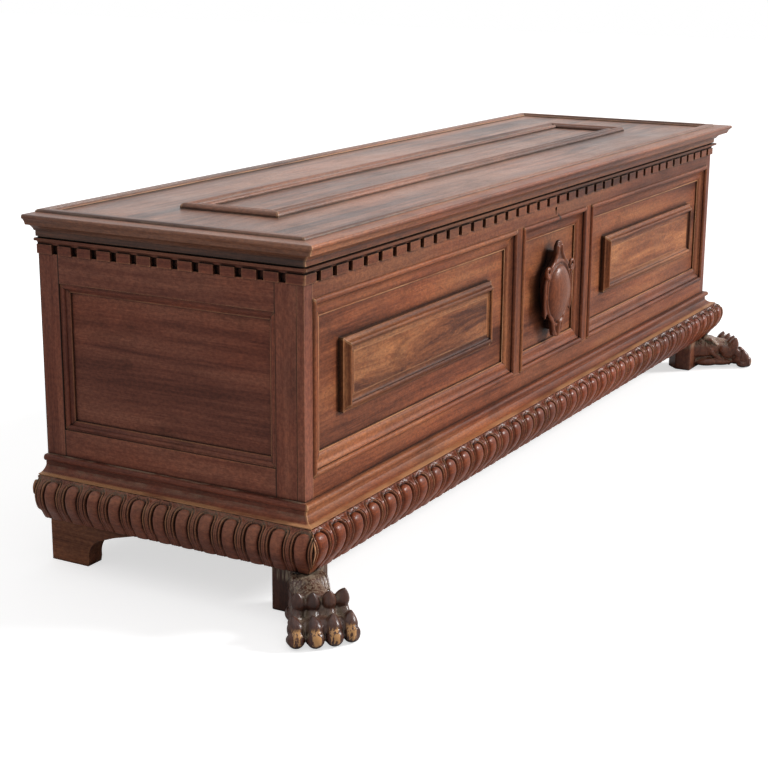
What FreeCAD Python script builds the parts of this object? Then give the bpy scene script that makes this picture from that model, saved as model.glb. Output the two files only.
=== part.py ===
"""Walnut marriage chest (cassone): planked carcase with applied frames, moulded base, paw feet, hinged lid.

Axes: X runs along the chest, the front faces -Y, Z is up. The origin lies on the floor, under the middle
of the overall footprint. All lengths are millimetres.
"""
import FreeCAD, Part
import Sketcher
import math
import os
import re

# Driving sizes, in millimetres.
SIZES = {
    # Carcase
    "case_length": 1700,
    "case_depth": 466,
    "case_height": 440,
    "foot_height": 71,
    "face_thick": 12,
    "board_thick": 22,
    "back_thick": 20,
    "bottom_thick": 20,
    "bottom_batten_width": 70,
    "bottom_batten_height": 20,
    "bottom_batten_spacing": 600,
    # Front frame
    "stile_width": 22,
    "muntin_width": 24,
    "centre_width": 280,
    "cornice_height": 26,
    "top_rail_height": 23,
    "bottom_rail_height": 132,
    # End frames
    "end_stile_width": 36,
    "end_top_rail_height": 43,
    "end_bottom_rail_height": 144,
    # Moulding round each front panel
    "panel_mould_width": 31,
    "panel_bead_width": 9,
    "panel_quirk": 2,
    "panel_ogee_mid_in": 21,
    "panel_ogee_mid_up": 6,
    "panel_toe_width": 2,
    "panel_toe_up": 3,
    # Moulding round each end panel
    "end_mould_width": 14,
    "end_lip_width": 3,
    "end_lip_up": 10,
    "end_ovolo_in": 8,
    "end_ovolo_up": 6,
    "end_toe_up": 3,
    # Raised tablets of the side panels
    "tablet_side_margin": 58,
    "tablet_top_margin": 43,
    "tablet_field_up": 12,
    "tablet_mould_width": 24,
    "tablet_edge_up": 8,
    "tablet_bead_in": 7,
    "tablet_bead_width": 7,
    "tablet_bead_up": 14,
    # Shield cartouche
    "shield_margin": 9.5,
    "shield_thick": 24,
    "boss_rise": 13,
    # Cornice with dentils
    "dentil_height": 14,
    "dentil_proud": 3.5,
    "dentil_slot": 12,
    "dentil_cut": 9,
    "dentil_end": 33,
    "dentil_back_end": 34,
    "cavetto_start": 1,
    "cavetto_out": 8,
    "cavetto_height": 6,
    "cornice_out": 9.5,
    # Base cove and bead
    "base_mould_height": 28,
    "base_foot_out": 24,
    "base_foot_lip": 1.5,
    "base_neck_out": 5,
    "base_neck_up": 11,
    "base_bead_low": 18,
    "base_bead_out": 6.5,
    # Gadrooned torus
    "torus_height": 74,
    "torus_top_out": 24,
    "torus_side_out": 40,
    "torus_side_up": 44,
    "torus_waist_out": 19,
    "torus_waist_up": 14,
    "torus_foot_out": 7,
    # Lid
    "lid_thick": 34,
    "lid_edge_height": 36,
    "lid_fillet_out": 5,
    "lid_fillet_up": 9,
    "lid_cove_start": 8,
    "lid_cove_out": 27,
    "lid_cove_up": 20,
    "lid_nose_out": 32,
    "lid_nose_height": 7,
    "border_width": 19,
    "border_out": 4,
    "border_lip": 1.5,
    "border_round": 5,
    "border_rise": 6,
    "border_flat": 14,
    "crown_length": 1370,
    "crown_depth": 176,
    "crown_forward": 10,
    "crown_left": 20,
    "crown_mould_width": 30,
    "crown_bead_width": 15,
    "crown_edge_up": 3,
    "crown_valley_width": 5,
    "lid_batten_width": 60,
    "lid_batten_height": 20,
    "lid_batten_gap": 6,
    "lid_batten_place": 420,
    # Bracket feet at the back
    "bracket_thick": 32,
    "bracket_base": 70,
    "bracket_heel": 72,
    "bracket_heel_up": 10,
    "bracket_arch": 100,
    "bracket_arch_up": 48,
    "bracket_step": 122,
    "bracket_step_up": 56,
    "bracket_tip": 160,
    "bracket_tip_up": 66,
    # Paw feet at the front
    "block_length": 62,
    "block_depth": 58,
    "block_inner_depth": 34,
    "toe_reach": 120,
    "toe_spread": 38,
    "claw_radius": 12.5,
    "toe_radius": 11.5,
    "joint_radius": 14,
    "joint_up": 33,
    "knuckle_radius": 15,
    "knuckle_up": 54,
    "wrist_radius": 29,
    "instep_radius": 32,
    "instep_up": 31.5,
    "pad_radius": 38,
    "pad_height": 22,
    "heel_back": 36,
    "floor_flat": 0.5,
    # Hinges
    "hinge_width": 60,
    "hinge_inset": 290,
    "leaf_thick": 2.5,
    "case_leaf": 76,
    "lid_leaf": 27,
    "leaf_clear": 0.6,
    "barrel_radius": 5,
    "pin_radius": 2.5,
    "pin_head_radius": 4,
    "pin_head": 1.5,
    "running_gap": 0.05,
    "barrel_gap": 0.4,
    # Lock
    "lock_width": 124,
    "lock_height": 77,
    "lock_plate": 4,
    "lock_drop": 6,
    "keeper_width": 12,
    "keeper_depth": 16,
    "keeper_height": 13,
    "bolt_length": 62,
    "bolt_section": 7,
    "bolt_gap": 0.3,
    "bolt_drop": 20,
    "staple_thick": 5,
    "staple_width": 12,
    "staple_length": 32,
    "staple_foot": 30,
    "staple_foot_thick": 3,
    "staple_space": 2,
    "keyhole_radius": 4,
    "keyhole_slot": 3.5,
    "keyhole_height": 14,
    # Wrought nails
    "nail_radius": 1.8,
    "nail_length": 17,
    "nail_head_radius": 4.5,
    "nail_head": 2,
    "nail_inset": 9,
    "overrun": 5,
}

# Counts of repeated details.
FRONT_DENTIL_COUNT = 39
END_DENTIL_COUNT = 12

# Arc sweeps in degrees.
ROUND = 150
QUARTER_ROUND = 90
SHALLOW = 60
SLIGHT = 30

# The shield's width as a share of its height, and the boss's sizes as shares of the shield's.
SHIELD_WIDTH_SHARE = 0.75
BOSS_WIDTH_SHARE = 0.61
BOSS_HEIGHT_SHARE = 0.55
# Shield outline, right half, as shares of half its width and half its height, top to bottom.
SHIELD_SHARES = ((0.20, 1.00), (0.42, 0.90), (0.34, 0.70), (0.66, 0.58), (0.80, 0.42), (1.00, 0.30),
                 (0.96, -0.20), (0.74, -0.48), (0.42, -0.60), (0.38, -0.86), (0.18, -1.00))
# Toes from outside to inside: share of the spread sideways, share of the reach forwards.
TOE_SHARES = ((1.0, 0.93), (0.34, 1.0), (-0.34, 1.0), (-1.0, 0.93))
TOE_ROOT_SHARE = 0.10
INSTEP_PLACE_SHARE = 0.42
PAD_PLACE_SHARE = 0.50
KNUCKLE_PLACE_SHARE = 0.60
KNUCKLE_SPREAD_SHARE = 0.82
JOINT_PLACE_SHARE = 0.74
JOINT_SPREAD_SHARE = 0.92
BATTEN_PLACES = (-1, 0, 1)
TALON_SHARE = 0.62

# Named planes of the chest, as expressions of the sizes.
DIAGONAL = "sqrt(1 / 2)"
OUTER_TOE_SHARE = min(forward for sideways, forward in TOE_SHARES)
PAW_REACH = "((toe_reach * %g - claw_radius + toe_spread) * %s + claw_radius)" % (OUTER_TOE_SHARE, DIAGONAL)
HALF = "(case_length / 2)"
FRONT = "((%s - 2 * barrel_radius - case_depth) / 2)" % PAW_REACH
BACK = "(%s + case_depth)" % FRONT
FIELD = "(%s + face_thick)" % FRONT
INSIDE_FRONT = "(%s + board_thick)" % FIELD
INSIDE_BACK = "(%s - back_thick)" % BACK
INSIDE_HALF = "(case_length / 2 - face_thick - board_thick)"
TOP = "(foot_height + case_height)"
RAIL_TOP = "(foot_height + case_height - cornice_height)"
LID_TOP = "(foot_height + case_height + lid_thick)"
HINGE_Y = "(%s + barrel_radius)" % BACK

X_AXIS = FreeCAD.Vector(1, 0, 0)
Y_AXIS = FreeCAD.Vector(0, 1, 0)
Z_AXIS = FreeCAD.Vector(0, 0, 1)

doc = FreeCAD.newDocument("Cassone")
sheet = doc.addObject("Spreadsheet::Sheet", "Sizes")
for row, (alias, size) in enumerate(SIZES.items(), 1):
    sheet.set("A%d" % row, alias)
    sheet.set("B%d" % row, str(size))
    sheet.setAlias("B%d" % row, alias)
doc.recompute()

nodes = []
WORD = re.compile(r"[a-z_]+[a-z_0-9]*")


def bound(text):
    """Expression text with each size's name pointed at its cell."""
    return WORD.sub(lambda word: "Sizes." + word.group() if word.group() in SIZES else word.group(), text)


def number(text):
    """The value of an expression of the sizes."""
    return float(sheet.evalExpression(bound(text)))


def bind(thing, prop, text):
    """Tie one property to the sizes."""
    thing.setExpression(prop, bound(text))


def place(thing, spot, rotation=FreeCAD.Rotation()):
    """Turn a piece and tie its place to the sizes."""
    thing.Placement = FreeCAD.Placement(FreeCAD.Vector(), rotation)
    for axis, text in zip("xyz", spot):
        bind(thing, "Placement.Base." + axis, text)


def keep(thing, label):
    """Name a finished sub-part and put it on the list to export."""
    thing.Label = label
    nodes.append(thing)
    return thing


def box(name, spot, size):
    """A plain rectangular block."""
    block = doc.addObject("Part::Box", name)
    for prop, text in zip(("Length", "Width", "Height"), size):
        bind(block, prop, text)
    place(block, spot)
    return block


def board(label, spot, size):
    """A sawn board that is a sub-part by itself."""
    return keep(box(label + "_board", spot, size), label)


def rod(name, spot, radius, length, direction=X_AXIS):
    """A round bar along one axis."""
    bar = doc.addObject("Part::Cylinder", name)
    bind(bar, "Radius", radius)
    bind(bar, "Height", length)
    place(bar, spot, FreeCAD.Rotation(Z_AXIS, direction))
    return bar


def ball(name, spot, radius, under, turn):
    """A sphere, cut flat at a depth under its centre, turned about the vertical."""
    sphere = doc.addObject("Part::Sphere", name)
    bind(sphere, "Radius", radius)
    bind(sphere, "Angle1", "-asin(min(1; (%s) / (%s)))" % (under, radius))
    place(sphere, spot, FreeCAD.Rotation(Z_AXIS, turn))
    return sphere


def fuse(name, pieces):
    """One solid from overlapping pieces."""
    union = doc.addObject("Part::MultiFuse", name)
    union.Shapes = pieces
    return union


def cut(name, base, tool):
    """The base with the tool taken away."""
    rest = doc.addObject("Part::Cut", name)
    rest.Base = base
    rest.Tool = tool
    return rest


def group(name, pieces):
    """Separate solids that share one node."""
    bunch = doc.addObject("Part::Compound", name)
    bunch.Links = pieces
    return bunch


def origin_plane(body, role):
    """The body's own origin plane with the given role."""
    return next(feature for feature in body.Origin.OriginFeatures if feature.Role == role)


def outline_sketch(body, name, role, corners):
    """A closed outline: each corner is (across, up) and, where an arc leaves it, the arc's sweep.

    A positive sweep turns anticlockwise, a negative one clockwise.
    """
    sketch = body.newObject("Sketcher::SketchObject", name)
    sketch.AttachmentSupport = [(origin_plane(body, role), "")]
    sketch.MapMode = "FlatFace"
    spots = [FreeCAD.Vector(number(corner[0]), number(corner[1]), 0) for corner in corners]
    ends = []
    for index, corner in enumerate(corners):
        start = spots[index]
        finish = spots[(index + 1) % len(spots)]
        if len(corner) == 2:
            sketch.addGeometry(Part.LineSegment(start, finish), False)
            ends.append((1, 2))
            continue
        first, last = (start, finish) if corner[2] > 0 else (finish, start)
        half_sweep = math.radians(abs(corner[2])) / 2
        chord = last - first
        left = FreeCAD.Vector(-chord.y, chord.x, 0)
        centre = (first + last) / 2 + left / (2 * math.tan(half_sweep))
        radius = (first - centre).Length
        angle = math.atan2(first.y - centre.y, first.x - centre.x)
        circle = Part.Circle(centre, Z_AXIS, radius)
        sketch.addGeometry(Part.ArcOfCircle(circle, angle, angle + 2 * half_sweep), False)
        sketch.addConstraint(Sketcher.Constraint("Angle", index, 2 * half_sweep))
        ends.append((1, 2) if corner[2] > 0 else (2, 1))
    for index, corner in enumerate(corners):
        after = (index + 1) % len(corners)
        sketch.addConstraint(Sketcher.Constraint("Coincident", index, ends[index][1], after, ends[after][0]))
        for text, kind, axis in ((corner[0], "DistanceX", -2), (corner[1], "DistanceY", -1)):
            point = (index, ends[index][0])
            if text == "0":
                sketch.addConstraint(Sketcher.Constraint("PointOnObject", *point, axis))
                continue
            added = sketch.addConstraint(Sketcher.Constraint(kind, -1, 1, *point, number(text)))
            bind(sketch, "Constraints[%d]" % added, text)
    return sketch


def pad(body, sketch, length):
    """Grow a sketch along its normal."""
    feature = body.newObject("PartDesign::Pad", sketch.Name + "_pad")
    feature.Profile = sketch
    bind(feature, "Length", length)
    return feature


def pocket(body, sketch, depth=None):
    """Cut a sketch away, along its normal for a depth, or both ways through all."""
    feature = body.newObject("PartDesign::Pocket", sketch.Name + "_pocket")
    feature.Profile = sketch
    if depth is None:
        feature.SideType = "Symmetric"
        feature.Type = "ThroughAll"
    else:
        feature.Reversed = True
        bind(feature, "Length", depth)
    return feature


SQUARE, SHRINKS, GROWS = 0, 1, 2


def strip(name, outline, run, width, ends):
    """A moulding along local X with its outline in local YZ, and its ends cut square or mitred.

    An end that grows is longer at the far side of the moulding, as round an outside corner, and one that
    shrinks is shorter there, as inside a frame.
    """
    body = doc.addObject("PartDesign::Body", name)
    total = "(%s + %d * (%s))" % (run, ends.count(GROWS), width)
    padded = pad(body, outline_sketch(body, name + "_outline", "YZ_Plane", outline), total)
    triangles = []
    for at_end, way in enumerate(ends):
        near = total if at_end else "0"
        inner = "%s - %s" % (total, width) if at_end else width
        if way == GROWS:
            triangles.append(((near, "0"), (inner, "0"), (near, width)))
        if way == SHRINKS:
            triangles.append(((near, "0"), (inner, width), (near, width)))
    for index, corners in enumerate(triangles):
        mitre = pocket(body, outline_sketch(body, "%s_mitre_%d" % (name, index), "XY_Plane", corners))
        doc.recompute()
        assert mitre.Shape.Volume < padded.Shape.Volume, name
    return body


def wall_mouldings(stem, outline, width, level, plane_in):
    """The front, left and right lengths of a moulding that goes round the front corners.

    plane_in is how far behind the outer faces of the case its back lies.
    """
    half = "(case_length / 2 - %s)" % plane_in
    wall = "(%s + %s)" % (FRONT, plane_in)
    runs = (
        ("front", "(case_length - 2 * %s)" % plane_in, (GROWS, GROWS), 180,
         ("%s + %s" % (half, width), wall, level)),
        ("left", "(case_depth - %s)" % plane_in, (GROWS, SQUARE), 90,
         ("-" + half, "%s - %s" % (wall, width), level)),
        ("right", "(case_depth - %s)" % plane_in, (SQUARE, GROWS), -90, (half, BACK, level)),
    )
    bodies = []
    for side, run, ends, turn, spot in runs:
        body = strip("%s_%s" % (stem, side), outline, run, width, ends)
        place(body, spot, FreeCAD.Rotation(Z_AXIS, turn))
        bodies.append(keep(body, "%s_%s" % (stem, side)))
    return bodies


def moved(centre, *steps):
    """A place: a centre moved by steps, each a direction and an expression of its length."""
    spot = []
    for index, text in enumerate(centre):
        for direction, length in steps:
            if abs(direction[index]) > 0.5:
                text += " %s %s" % ("+" if direction[index] > 0 else "-", length)
        spot.append(text)
    return spot


def frame_moulding(label, outline, width, centre, across, upward, length, height):
    """Four mitred strips round a rectangle, its outer edges length by height."""
    half_length = "%s / 2" % length
    half_height = "%s / 2" % height
    sides = (
        ("low", across, upward, length, ((-across, half_length), (-upward, half_height))),
        ("right", upward, -across, height, ((across, half_length), (-upward, half_height))),
        ("top", -across, -upward, length, ((across, half_length), (upward, half_height))),
        ("left", -upward, across, height, ((-across, half_length), (upward, half_height))),
    )
    strips = []
    for side, along, inward, run, steps in sides:
        body = strip("%s_%s" % (label, side), outline, run, width, (SHRINKS, SHRINKS))
        turn = FreeCAD.Rotation(along, inward, along.cross(inward), "XYZ")
        place(body, moved(centre, *steps), turn)
        strips.append(body)
    return keep(group(label + "_strips", strips), label)


def carcase():
    """Planks of the front, ends, back and bottom."""
    plank_length = "case_length - 2 * face_thick"
    plank_x = "face_thick - " + HALF
    keyhole_z = "%s - top_rail_height / 2 + keyhole_radius / 2" % RAIL_TOP
    plank = box("front_plank", (plank_x, FIELD, "foot_height"), (plank_length, "board_thick", "case_height"))
    keep(cut("front_plank_cut", plank, keyhole("plank_keyhole", keyhole_z)), "front_board")
    for side, spot in (("left", "face_thick - " + HALF), ("right", INSIDE_HALF)):
        board("end_board_" + side, (spot, INSIDE_FRONT, "foot_height"),
              ("board_thick", "%s - %s" % (INSIDE_BACK, INSIDE_FRONT), "case_height"))
    for half, lift in (("lower", "0"), ("upper", "case_height / 2")):
        board("back_board_" + half, (plank_x, INSIDE_BACK, "foot_height + " + lift),
              (plank_length, "back_thick", "case_height / 2"))
    inner_depth = "%s - %s" % (INSIDE_BACK, INSIDE_FRONT)
    board("bottom_board", ("-" + INSIDE_HALF, INSIDE_FRONT, "foot_height + bottom_batten_height"),
          ("2 * " + INSIDE_HALF, inner_depth, "bottom_thick"))
    battens = []
    for index, share in enumerate(BATTEN_PLACES):
        spot = ("%d * bottom_batten_spacing - bottom_batten_width / 2" % share, INSIDE_FRONT, "foot_height")
        battens.append(box("bottom_batten_%d" % index, spot,
                           ("bottom_batten_width", inner_depth, "bottom_batten_height")))
    keep(group("bottom_batten_set", battens), "bottom_battens")


def keyhole(name, level):
    """Round eye with a slot under it, right through the front."""
    start = "%s - overrun" % FRONT
    depth = "face_thick + board_thick + lock_plate + 2 * overrun"
    eye = rod(name + "_eye", ("0", start, level), "keyhole_radius", depth, Y_AXIS)
    slot = box(name + "_slot", ("-keyhole_slot / 2", start, "%s + keyhole_radius - keyhole_height" % level),
               ("keyhole_slot", depth, "keyhole_height - keyhole_radius"))
    return fuse(name, [eye, slot])


def front_frame():
    """Applied rails, stiles and muntins of the front."""
    rail_length = "case_length - 2 * stile_width"
    rail_x = "stile_width - " + HALF
    opening_low = "foot_height + bottom_rail_height"
    opening_high = "%s - top_rail_height" % RAIL_TOP
    rail = box("top_rail", (rail_x, FRONT, opening_high), (rail_length, "face_thick", "top_rail_height"))
    keyhole_z = "%s - top_rail_height / 2 + keyhole_radius / 2" % RAIL_TOP
    keep(cut("top_rail_cut", rail, keyhole("rail_keyhole", keyhole_z)), "front_top_rail")
    board("front_bottom_rail", (rail_x, FRONT, "foot_height"),
          (rail_length, "face_thick", "bottom_rail_height"))
    for side, spot in (("left", "-" + HALF), ("right", HALF + " - stile_width")):
        board("front_stile_" + side, (spot, FRONT, "foot_height"),
              ("stile_width", "face_thick", "case_height - cornice_height"))
    for side, spot in (("left", "-centre_width / 2 - muntin_width"), ("right", "centre_width / 2")):
        board("front_muntin_" + side, (spot, FRONT, opening_low),
              ("muntin_width", "face_thick", "%s - (%s)" % (opening_high, opening_low)))


def front_mouldings():
    """Mouldings round the three front panels, the raised tablets and the shield."""
    outline = (("0", "0"), ("panel_mould_width", "0"), ("panel_mould_width", "panel_toe_up"),
               ("panel_mould_width - panel_toe_width", "panel_toe_up", SHALLOW),
               ("panel_ogee_mid_in", "panel_ogee_mid_up", -SHALLOW),
               ("panel_bead_width + panel_quirk", "face_thick - panel_quirk"),
               ("panel_bead_width", "face_thick - panel_quirk"), ("panel_bead_width", "face_thick", ROUND),
               ("0", "face_thick"))
    opening = "(case_height - cornice_height - top_rail_height - bottom_rail_height)"
    middle = "foot_height + bottom_rail_height + %s / 2" % opening
    side_width = "(case_length / 2 - stile_width - muntin_width - centre_width / 2)"
    side_centre = "(case_length / 2 - stile_width - %s / 2)" % side_width
    places = (("left", "-" + side_centre, side_width), ("centre", "0", "centre_width"),
              ("right", side_centre, side_width))
    for side, centre_x, width in places:
        frame_moulding("panel_moulding_" + side, outline, "panel_mould_width", (centre_x, FIELD, middle),
                       X_AXIS, Z_AXIS, width, opening)
    tablet_outline = (("0", "0"), ("tablet_mould_width", "0"), ("tablet_mould_width", "tablet_field_up"),
                      ("tablet_mould_width - panel_toe_width", "tablet_field_up", -SHALLOW),
                      ("tablet_bead_in + tablet_bead_width", "tablet_bead_up - panel_quirk / 2"),
                      ("tablet_bead_in + tablet_bead_width", "tablet_bead_up", ROUND),
                      ("tablet_bead_in", "tablet_bead_up", -SHALLOW), ("0", "tablet_edge_up"))
    length = "(%s - 2 * panel_mould_width - 2 * tablet_side_margin)" % side_width
    height = "(%s - 2 * panel_mould_width - 2 * tablet_top_margin)" % opening
    inner_length = "(%s - 2 * tablet_mould_width)" % length
    inner_height = "(%s - 2 * tablet_mould_width)" % height
    for side, centre_x, width in (places[0], places[2]):
        frame_moulding("tablet_moulding_" + side, tablet_outline, "tablet_mould_width",
                       (centre_x, FIELD, middle), X_AXIS, Z_AXIS, length, height)
        board("tablet_" + side, ("%s - %s / 2" % (centre_x, inner_length), FIELD + " - tablet_field_up",
                                 "%s - %s / 2" % (middle, inner_height)),
              (inner_length, "tablet_field_up", inner_height))
    shield(middle, "(%s - 2 * panel_mould_width - 2 * shield_margin)" % opening)


def shield(middle, height):
    """Blank shield cartouche on the centre panel: a scrolled plate with a domed oval boss."""
    width = "(%g * %s)" % (SHIELD_WIDTH_SHARE, height)
    plate = doc.addObject("PartDesign::Body", "shield_plate")
    right = [("%g * %s / 2" % (across, width), "%g * %s / 2" % (upward, height))
             for across, upward in SHIELD_SHARES]
    left = [("-" + across, upward) for across, upward in reversed(right)]
    pad(plate, outline_sketch(plate, "shield_outline", "XZ_Plane", right[::-1] + left[::-1]),
        "shield_thick")
    place(plate, ("0", FIELD, middle))
    boss = doc.addObject("Part::Ellipsoid", "shield_boss")
    for prop, text in (("Radius1", "%g * %s / 2" % (BOSS_HEIGHT_SHARE, height)),
                       ("Radius2", "%g * %s / 2" % (BOSS_WIDTH_SHARE, width)), ("Radius3", "boss_rise")):
        bind(boss, prop, text)
    place(boss, ("0", "%s - shield_thick" % FIELD, middle))
    behind = box("shield_behind", ("-" + width, FIELD, "%s - %s" % (middle, height)),
                 ("2 * " + width, "boss_rise", "2 * " + height))
    keep(cut("shield_cut", fuse("shield_fuse", [plate, boss]), behind), "cartouche")


def end_frames():
    """Applied stiles, rails and panel mouldings of the two ends."""
    outline = (("0", "0"), ("end_mould_width", "0"), ("end_mould_width", "end_toe_up", -SHALLOW),
               ("end_ovolo_in", "end_ovolo_up", ROUND), ("end_lip_width", "end_lip_up"), ("0", "end_lip_up"))
    end_depth = "(case_depth - face_thick)"
    rail_length = "(%s - 2 * end_stile_width)" % end_depth
    frame_height = "(case_height - cornice_height)"
    opening = "(%s - end_top_rail_height - end_bottom_rail_height)" % frame_height
    middle_y = "%s + %s / 2" % (FIELD, end_depth)
    middle_z = "foot_height + end_bottom_rail_height + %s / 2" % opening
    sides = (("left", "-" + HALF, "face_thick - " + HALF, -Y_AXIS),
             ("right", HALF + " - face_thick", HALF + " - face_thick", Y_AXIS))
    for side, outer_x, board_x, across in sides:
        for stile, spot_y in (("front", FIELD), ("back", BACK + " - end_stile_width")):
            board("end_stile_%s_%s" % (stile, side), (outer_x, spot_y, "foot_height"),
                  ("face_thick", "end_stile_width", frame_height))
        rail_y = FIELD + " + end_stile_width"
        board("end_top_rail_" + side, (outer_x, rail_y, RAIL_TOP + " - end_top_rail_height"),
              ("face_thick", rail_length, "end_top_rail_height"))
        board("end_bottom_rail_" + side, (outer_x, rail_y, "foot_height"),
              ("face_thick", rail_length, "end_bottom_rail_height"))
        frame_moulding("end_moulding_" + side, outline, "end_mould_width", (board_x, middle_y, middle_z),
                       across, Z_AXIS, rail_length, opening)


def cornices():
    """Cavetto and dentil strips under the lid."""
    outline = (("0", "0"), ("face_thick + dentil_proud", "0"), ("face_thick + dentil_proud", "dentil_height"),
               ("face_thick + cavetto_start", "dentil_height", -QUARTER_ROUND),
               ("face_thick + cavetto_out", "dentil_height + cavetto_height"),
               ("face_thick + cornice_out", "dentil_height + cavetto_height"),
               ("face_thick + cornice_out", "cornice_height - panel_quirk"),
               ("face_thick", "cornice_height - panel_quirk"), ("face_thick", "cornice_height"),
               ("0", "cornice_height"))
    width = "(face_thick + cornice_out)"
    bodies = wall_mouldings("cornice", outline, width, RAIL_TOP, "face_thick")
    front_run = "(case_length - 2 * dentil_end)"
    end_run = "(case_depth - dentil_end - dentil_back_end)"
    rows = ((bodies[0], "(dentil_end + cornice_out)", front_run, FRONT_DENTIL_COUNT),
            (bodies[1], "(dentil_end + cornice_out)", end_run, END_DENTIL_COUNT),
            (bodies[2], "dentil_back_end", end_run, END_DENTIL_COUNT))
    for body, first, span, count in rows:
        low = "%s - dentil_slot / 2" % first
        high = "%s + dentil_slot / 2" % first
        inner = "face_thick + dentil_proud - dentil_cut"
        outer = "face_thick + cornice_out + overrun"
        corners = ((low, inner), (high, inner), (high, outer), (low, outer))
        slot = pocket(body, outline_sketch(body, body.Name + "_slot", "XY_Plane", corners), "dentil_height")
        doc.recompute()
        before = slot.Shape.Volume
        slots = body.newObject("PartDesign::LinearPattern", body.Name + "_slots")
        slots.Originals = [slot]
        slots.Direction = (slot.Profile[0], ["H_Axis"])
        slots.Occurrences = count
        bind(slots, "Length", span)
        body.Tip = slots
        doc.recompute()
        assert slots.Shape.Volume < before, body.Name


def base_mouldings():
    """Cove with its bead, and the fat torus under it."""
    cove = (("0", "0"), ("base_foot_out", "0"), ("base_foot_out", "base_foot_lip", -SHALLOW),
            ("base_neck_out", "base_neck_up"), ("base_neck_out", "base_bead_low"),
            ("base_bead_out", "base_bead_low", ROUND), ("base_bead_out", "base_mould_height"),
            ("0", "base_mould_height"))
    wall_mouldings("base_moulding", cove, "base_foot_out", "foot_height + torus_height", "0")
    torus = (("0", "0"), ("torus_foot_out", "0"), ("torus_waist_out", "torus_waist_up", SLIGHT),
             ("torus_side_out", "torus_side_up", QUARTER_ROUND), ("torus_top_out", "torus_height"),
             ("0", "torus_height"))
    wall_mouldings("gadroon", torus, "(torus_side_out + torus_waist_out)", "foot_height", "0")


def feet():
    """Bracket feet at the back and paw feet at the front."""
    outline = (("0", "0"), ("bracket_base", "0"), ("bracket_heel", "bracket_heel_up", -QUARTER_ROUND),
               ("bracket_arch", "bracket_arch_up"), ("bracket_step", "bracket_step_up"),
               ("bracket_tip", "bracket_tip_up"), ("bracket_tip", "foot_height"), ("0", "foot_height"))
    for side, spot in (("left", "bracket_thick - " + HALF), ("right", HALF)):
        body = doc.addObject("PartDesign::Body", "bracket_" + side)
        pad(body, outline_sketch(body, "bracket_outline_" + side, "YZ_Plane", outline), "bracket_thick")
        place(body, (spot, BACK, "0"), FreeCAD.Rotation(Z_AXIS, 180))
        keep(body, "bracket_foot_" + side)
    left = paw()
    right = doc.addObject("Part::Mirroring", "paw_mirror")
    right.Source = left
    right.Normal = X_AXIS
    keep(left, "paw_foot_left")
    keep(right, "paw_foot_right")


def paw():
    """Leg block with a four toed paw that points out along the left corner's diagonal."""
    def spot(forward, sideways, level):
        across = "-%s - ((%s) + (%s)) * %s" % (HALF, forward, sideways, DIAGONAL)
        return across, "%s - ((%s) - (%s)) * %s" % (FRONT, forward, sideways, DIAGONAL), level

    ahead = -X_AXIS - Y_AXIS
    turn = 135
    block = doc.addObject("PartDesign::Body", "leg_block")
    corners = (("0", "0"), ("block_length", "0"), ("block_length", "block_inner_depth"),
               ("block_length - (block_depth - block_inner_depth)", "block_depth"), ("0", "block_depth"))
    pad(block, outline_sketch(block, "block_outline", "XY_Plane", corners), "foot_height")
    place(block, ("-" + HALF, FRONT, "0"))
    instep_place = "%g * toe_reach" % INSTEP_PLACE_SHARE
    wrist = rod("wrist", spot("-heel_back / 2", "0", "instep_up"), "wrist_radius",
                "heel_back / 2 + " + instep_place, ahead)
    instep = ball("instep", spot(instep_place, "0", "instep_up"), "instep_radius", "instep_up", turn)
    sole_place = "%g * toe_reach" % PAD_PLACE_SHARE
    sole = rod("paw_pad", spot(sole_place, "0", "0"), "pad_radius", "pad_height", Z_AXIS)
    heel = doc.addObject("Part::Box", "paw_heel")
    for prop, text in (("Length", "heel_back + " + sole_place), ("Width", "2 * pad_radius"),
                       ("Height", "pad_height")):
        bind(heel, prop, text)
    place(heel, spot(sole_place, "-pad_radius", "0"), FreeCAD.Rotation(Z_AXIS, 45))
    foot = fuse("paw_leg", [block, wrist, instep])
    foot = fuse("paw_sole", [foot, sole, heel])
    for index, (sideways, forward) in enumerate(TOE_SHARES):
        side = "%g * toe_spread" % sideways
        level = "claw_radius - floor_flat"
        claw = ball("claw_%d" % index, spot("%g * toe_reach - claw_radius" % forward, side, level),
                    "claw_radius", level, turn)
        bar = rod("toe_bar_%d" % index, spot("%g * toe_reach" % TOE_ROOT_SHARE, side, level), "toe_radius",
                  "%g * toe_reach - claw_radius" % (forward - TOE_ROOT_SHARE), ahead)
        joint_spot = spot("%g * toe_reach" % (forward * JOINT_PLACE_SHARE),
                          "%g * toe_spread" % (sideways * JOINT_SPREAD_SHARE), "joint_up")
        joint = ball("joint_%d" % index, joint_spot, "joint_radius", "joint_radius", turn)
        knuckle_spot = spot("%g * toe_reach" % (forward * KNUCKLE_PLACE_SHARE),
                            "%g * toe_spread" % (sideways * KNUCKLE_SPREAD_SHARE), "knuckle_up")
        knuckle = ball("knuckle_%d" % index, knuckle_spot, "knuckle_radius", "knuckle_radius", turn)
        toe = fuse("toe_%d" % index, [claw, bar, joint, knuckle])
        foot = fuse("paw_%d" % index, [foot, toe])
    return foot


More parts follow.
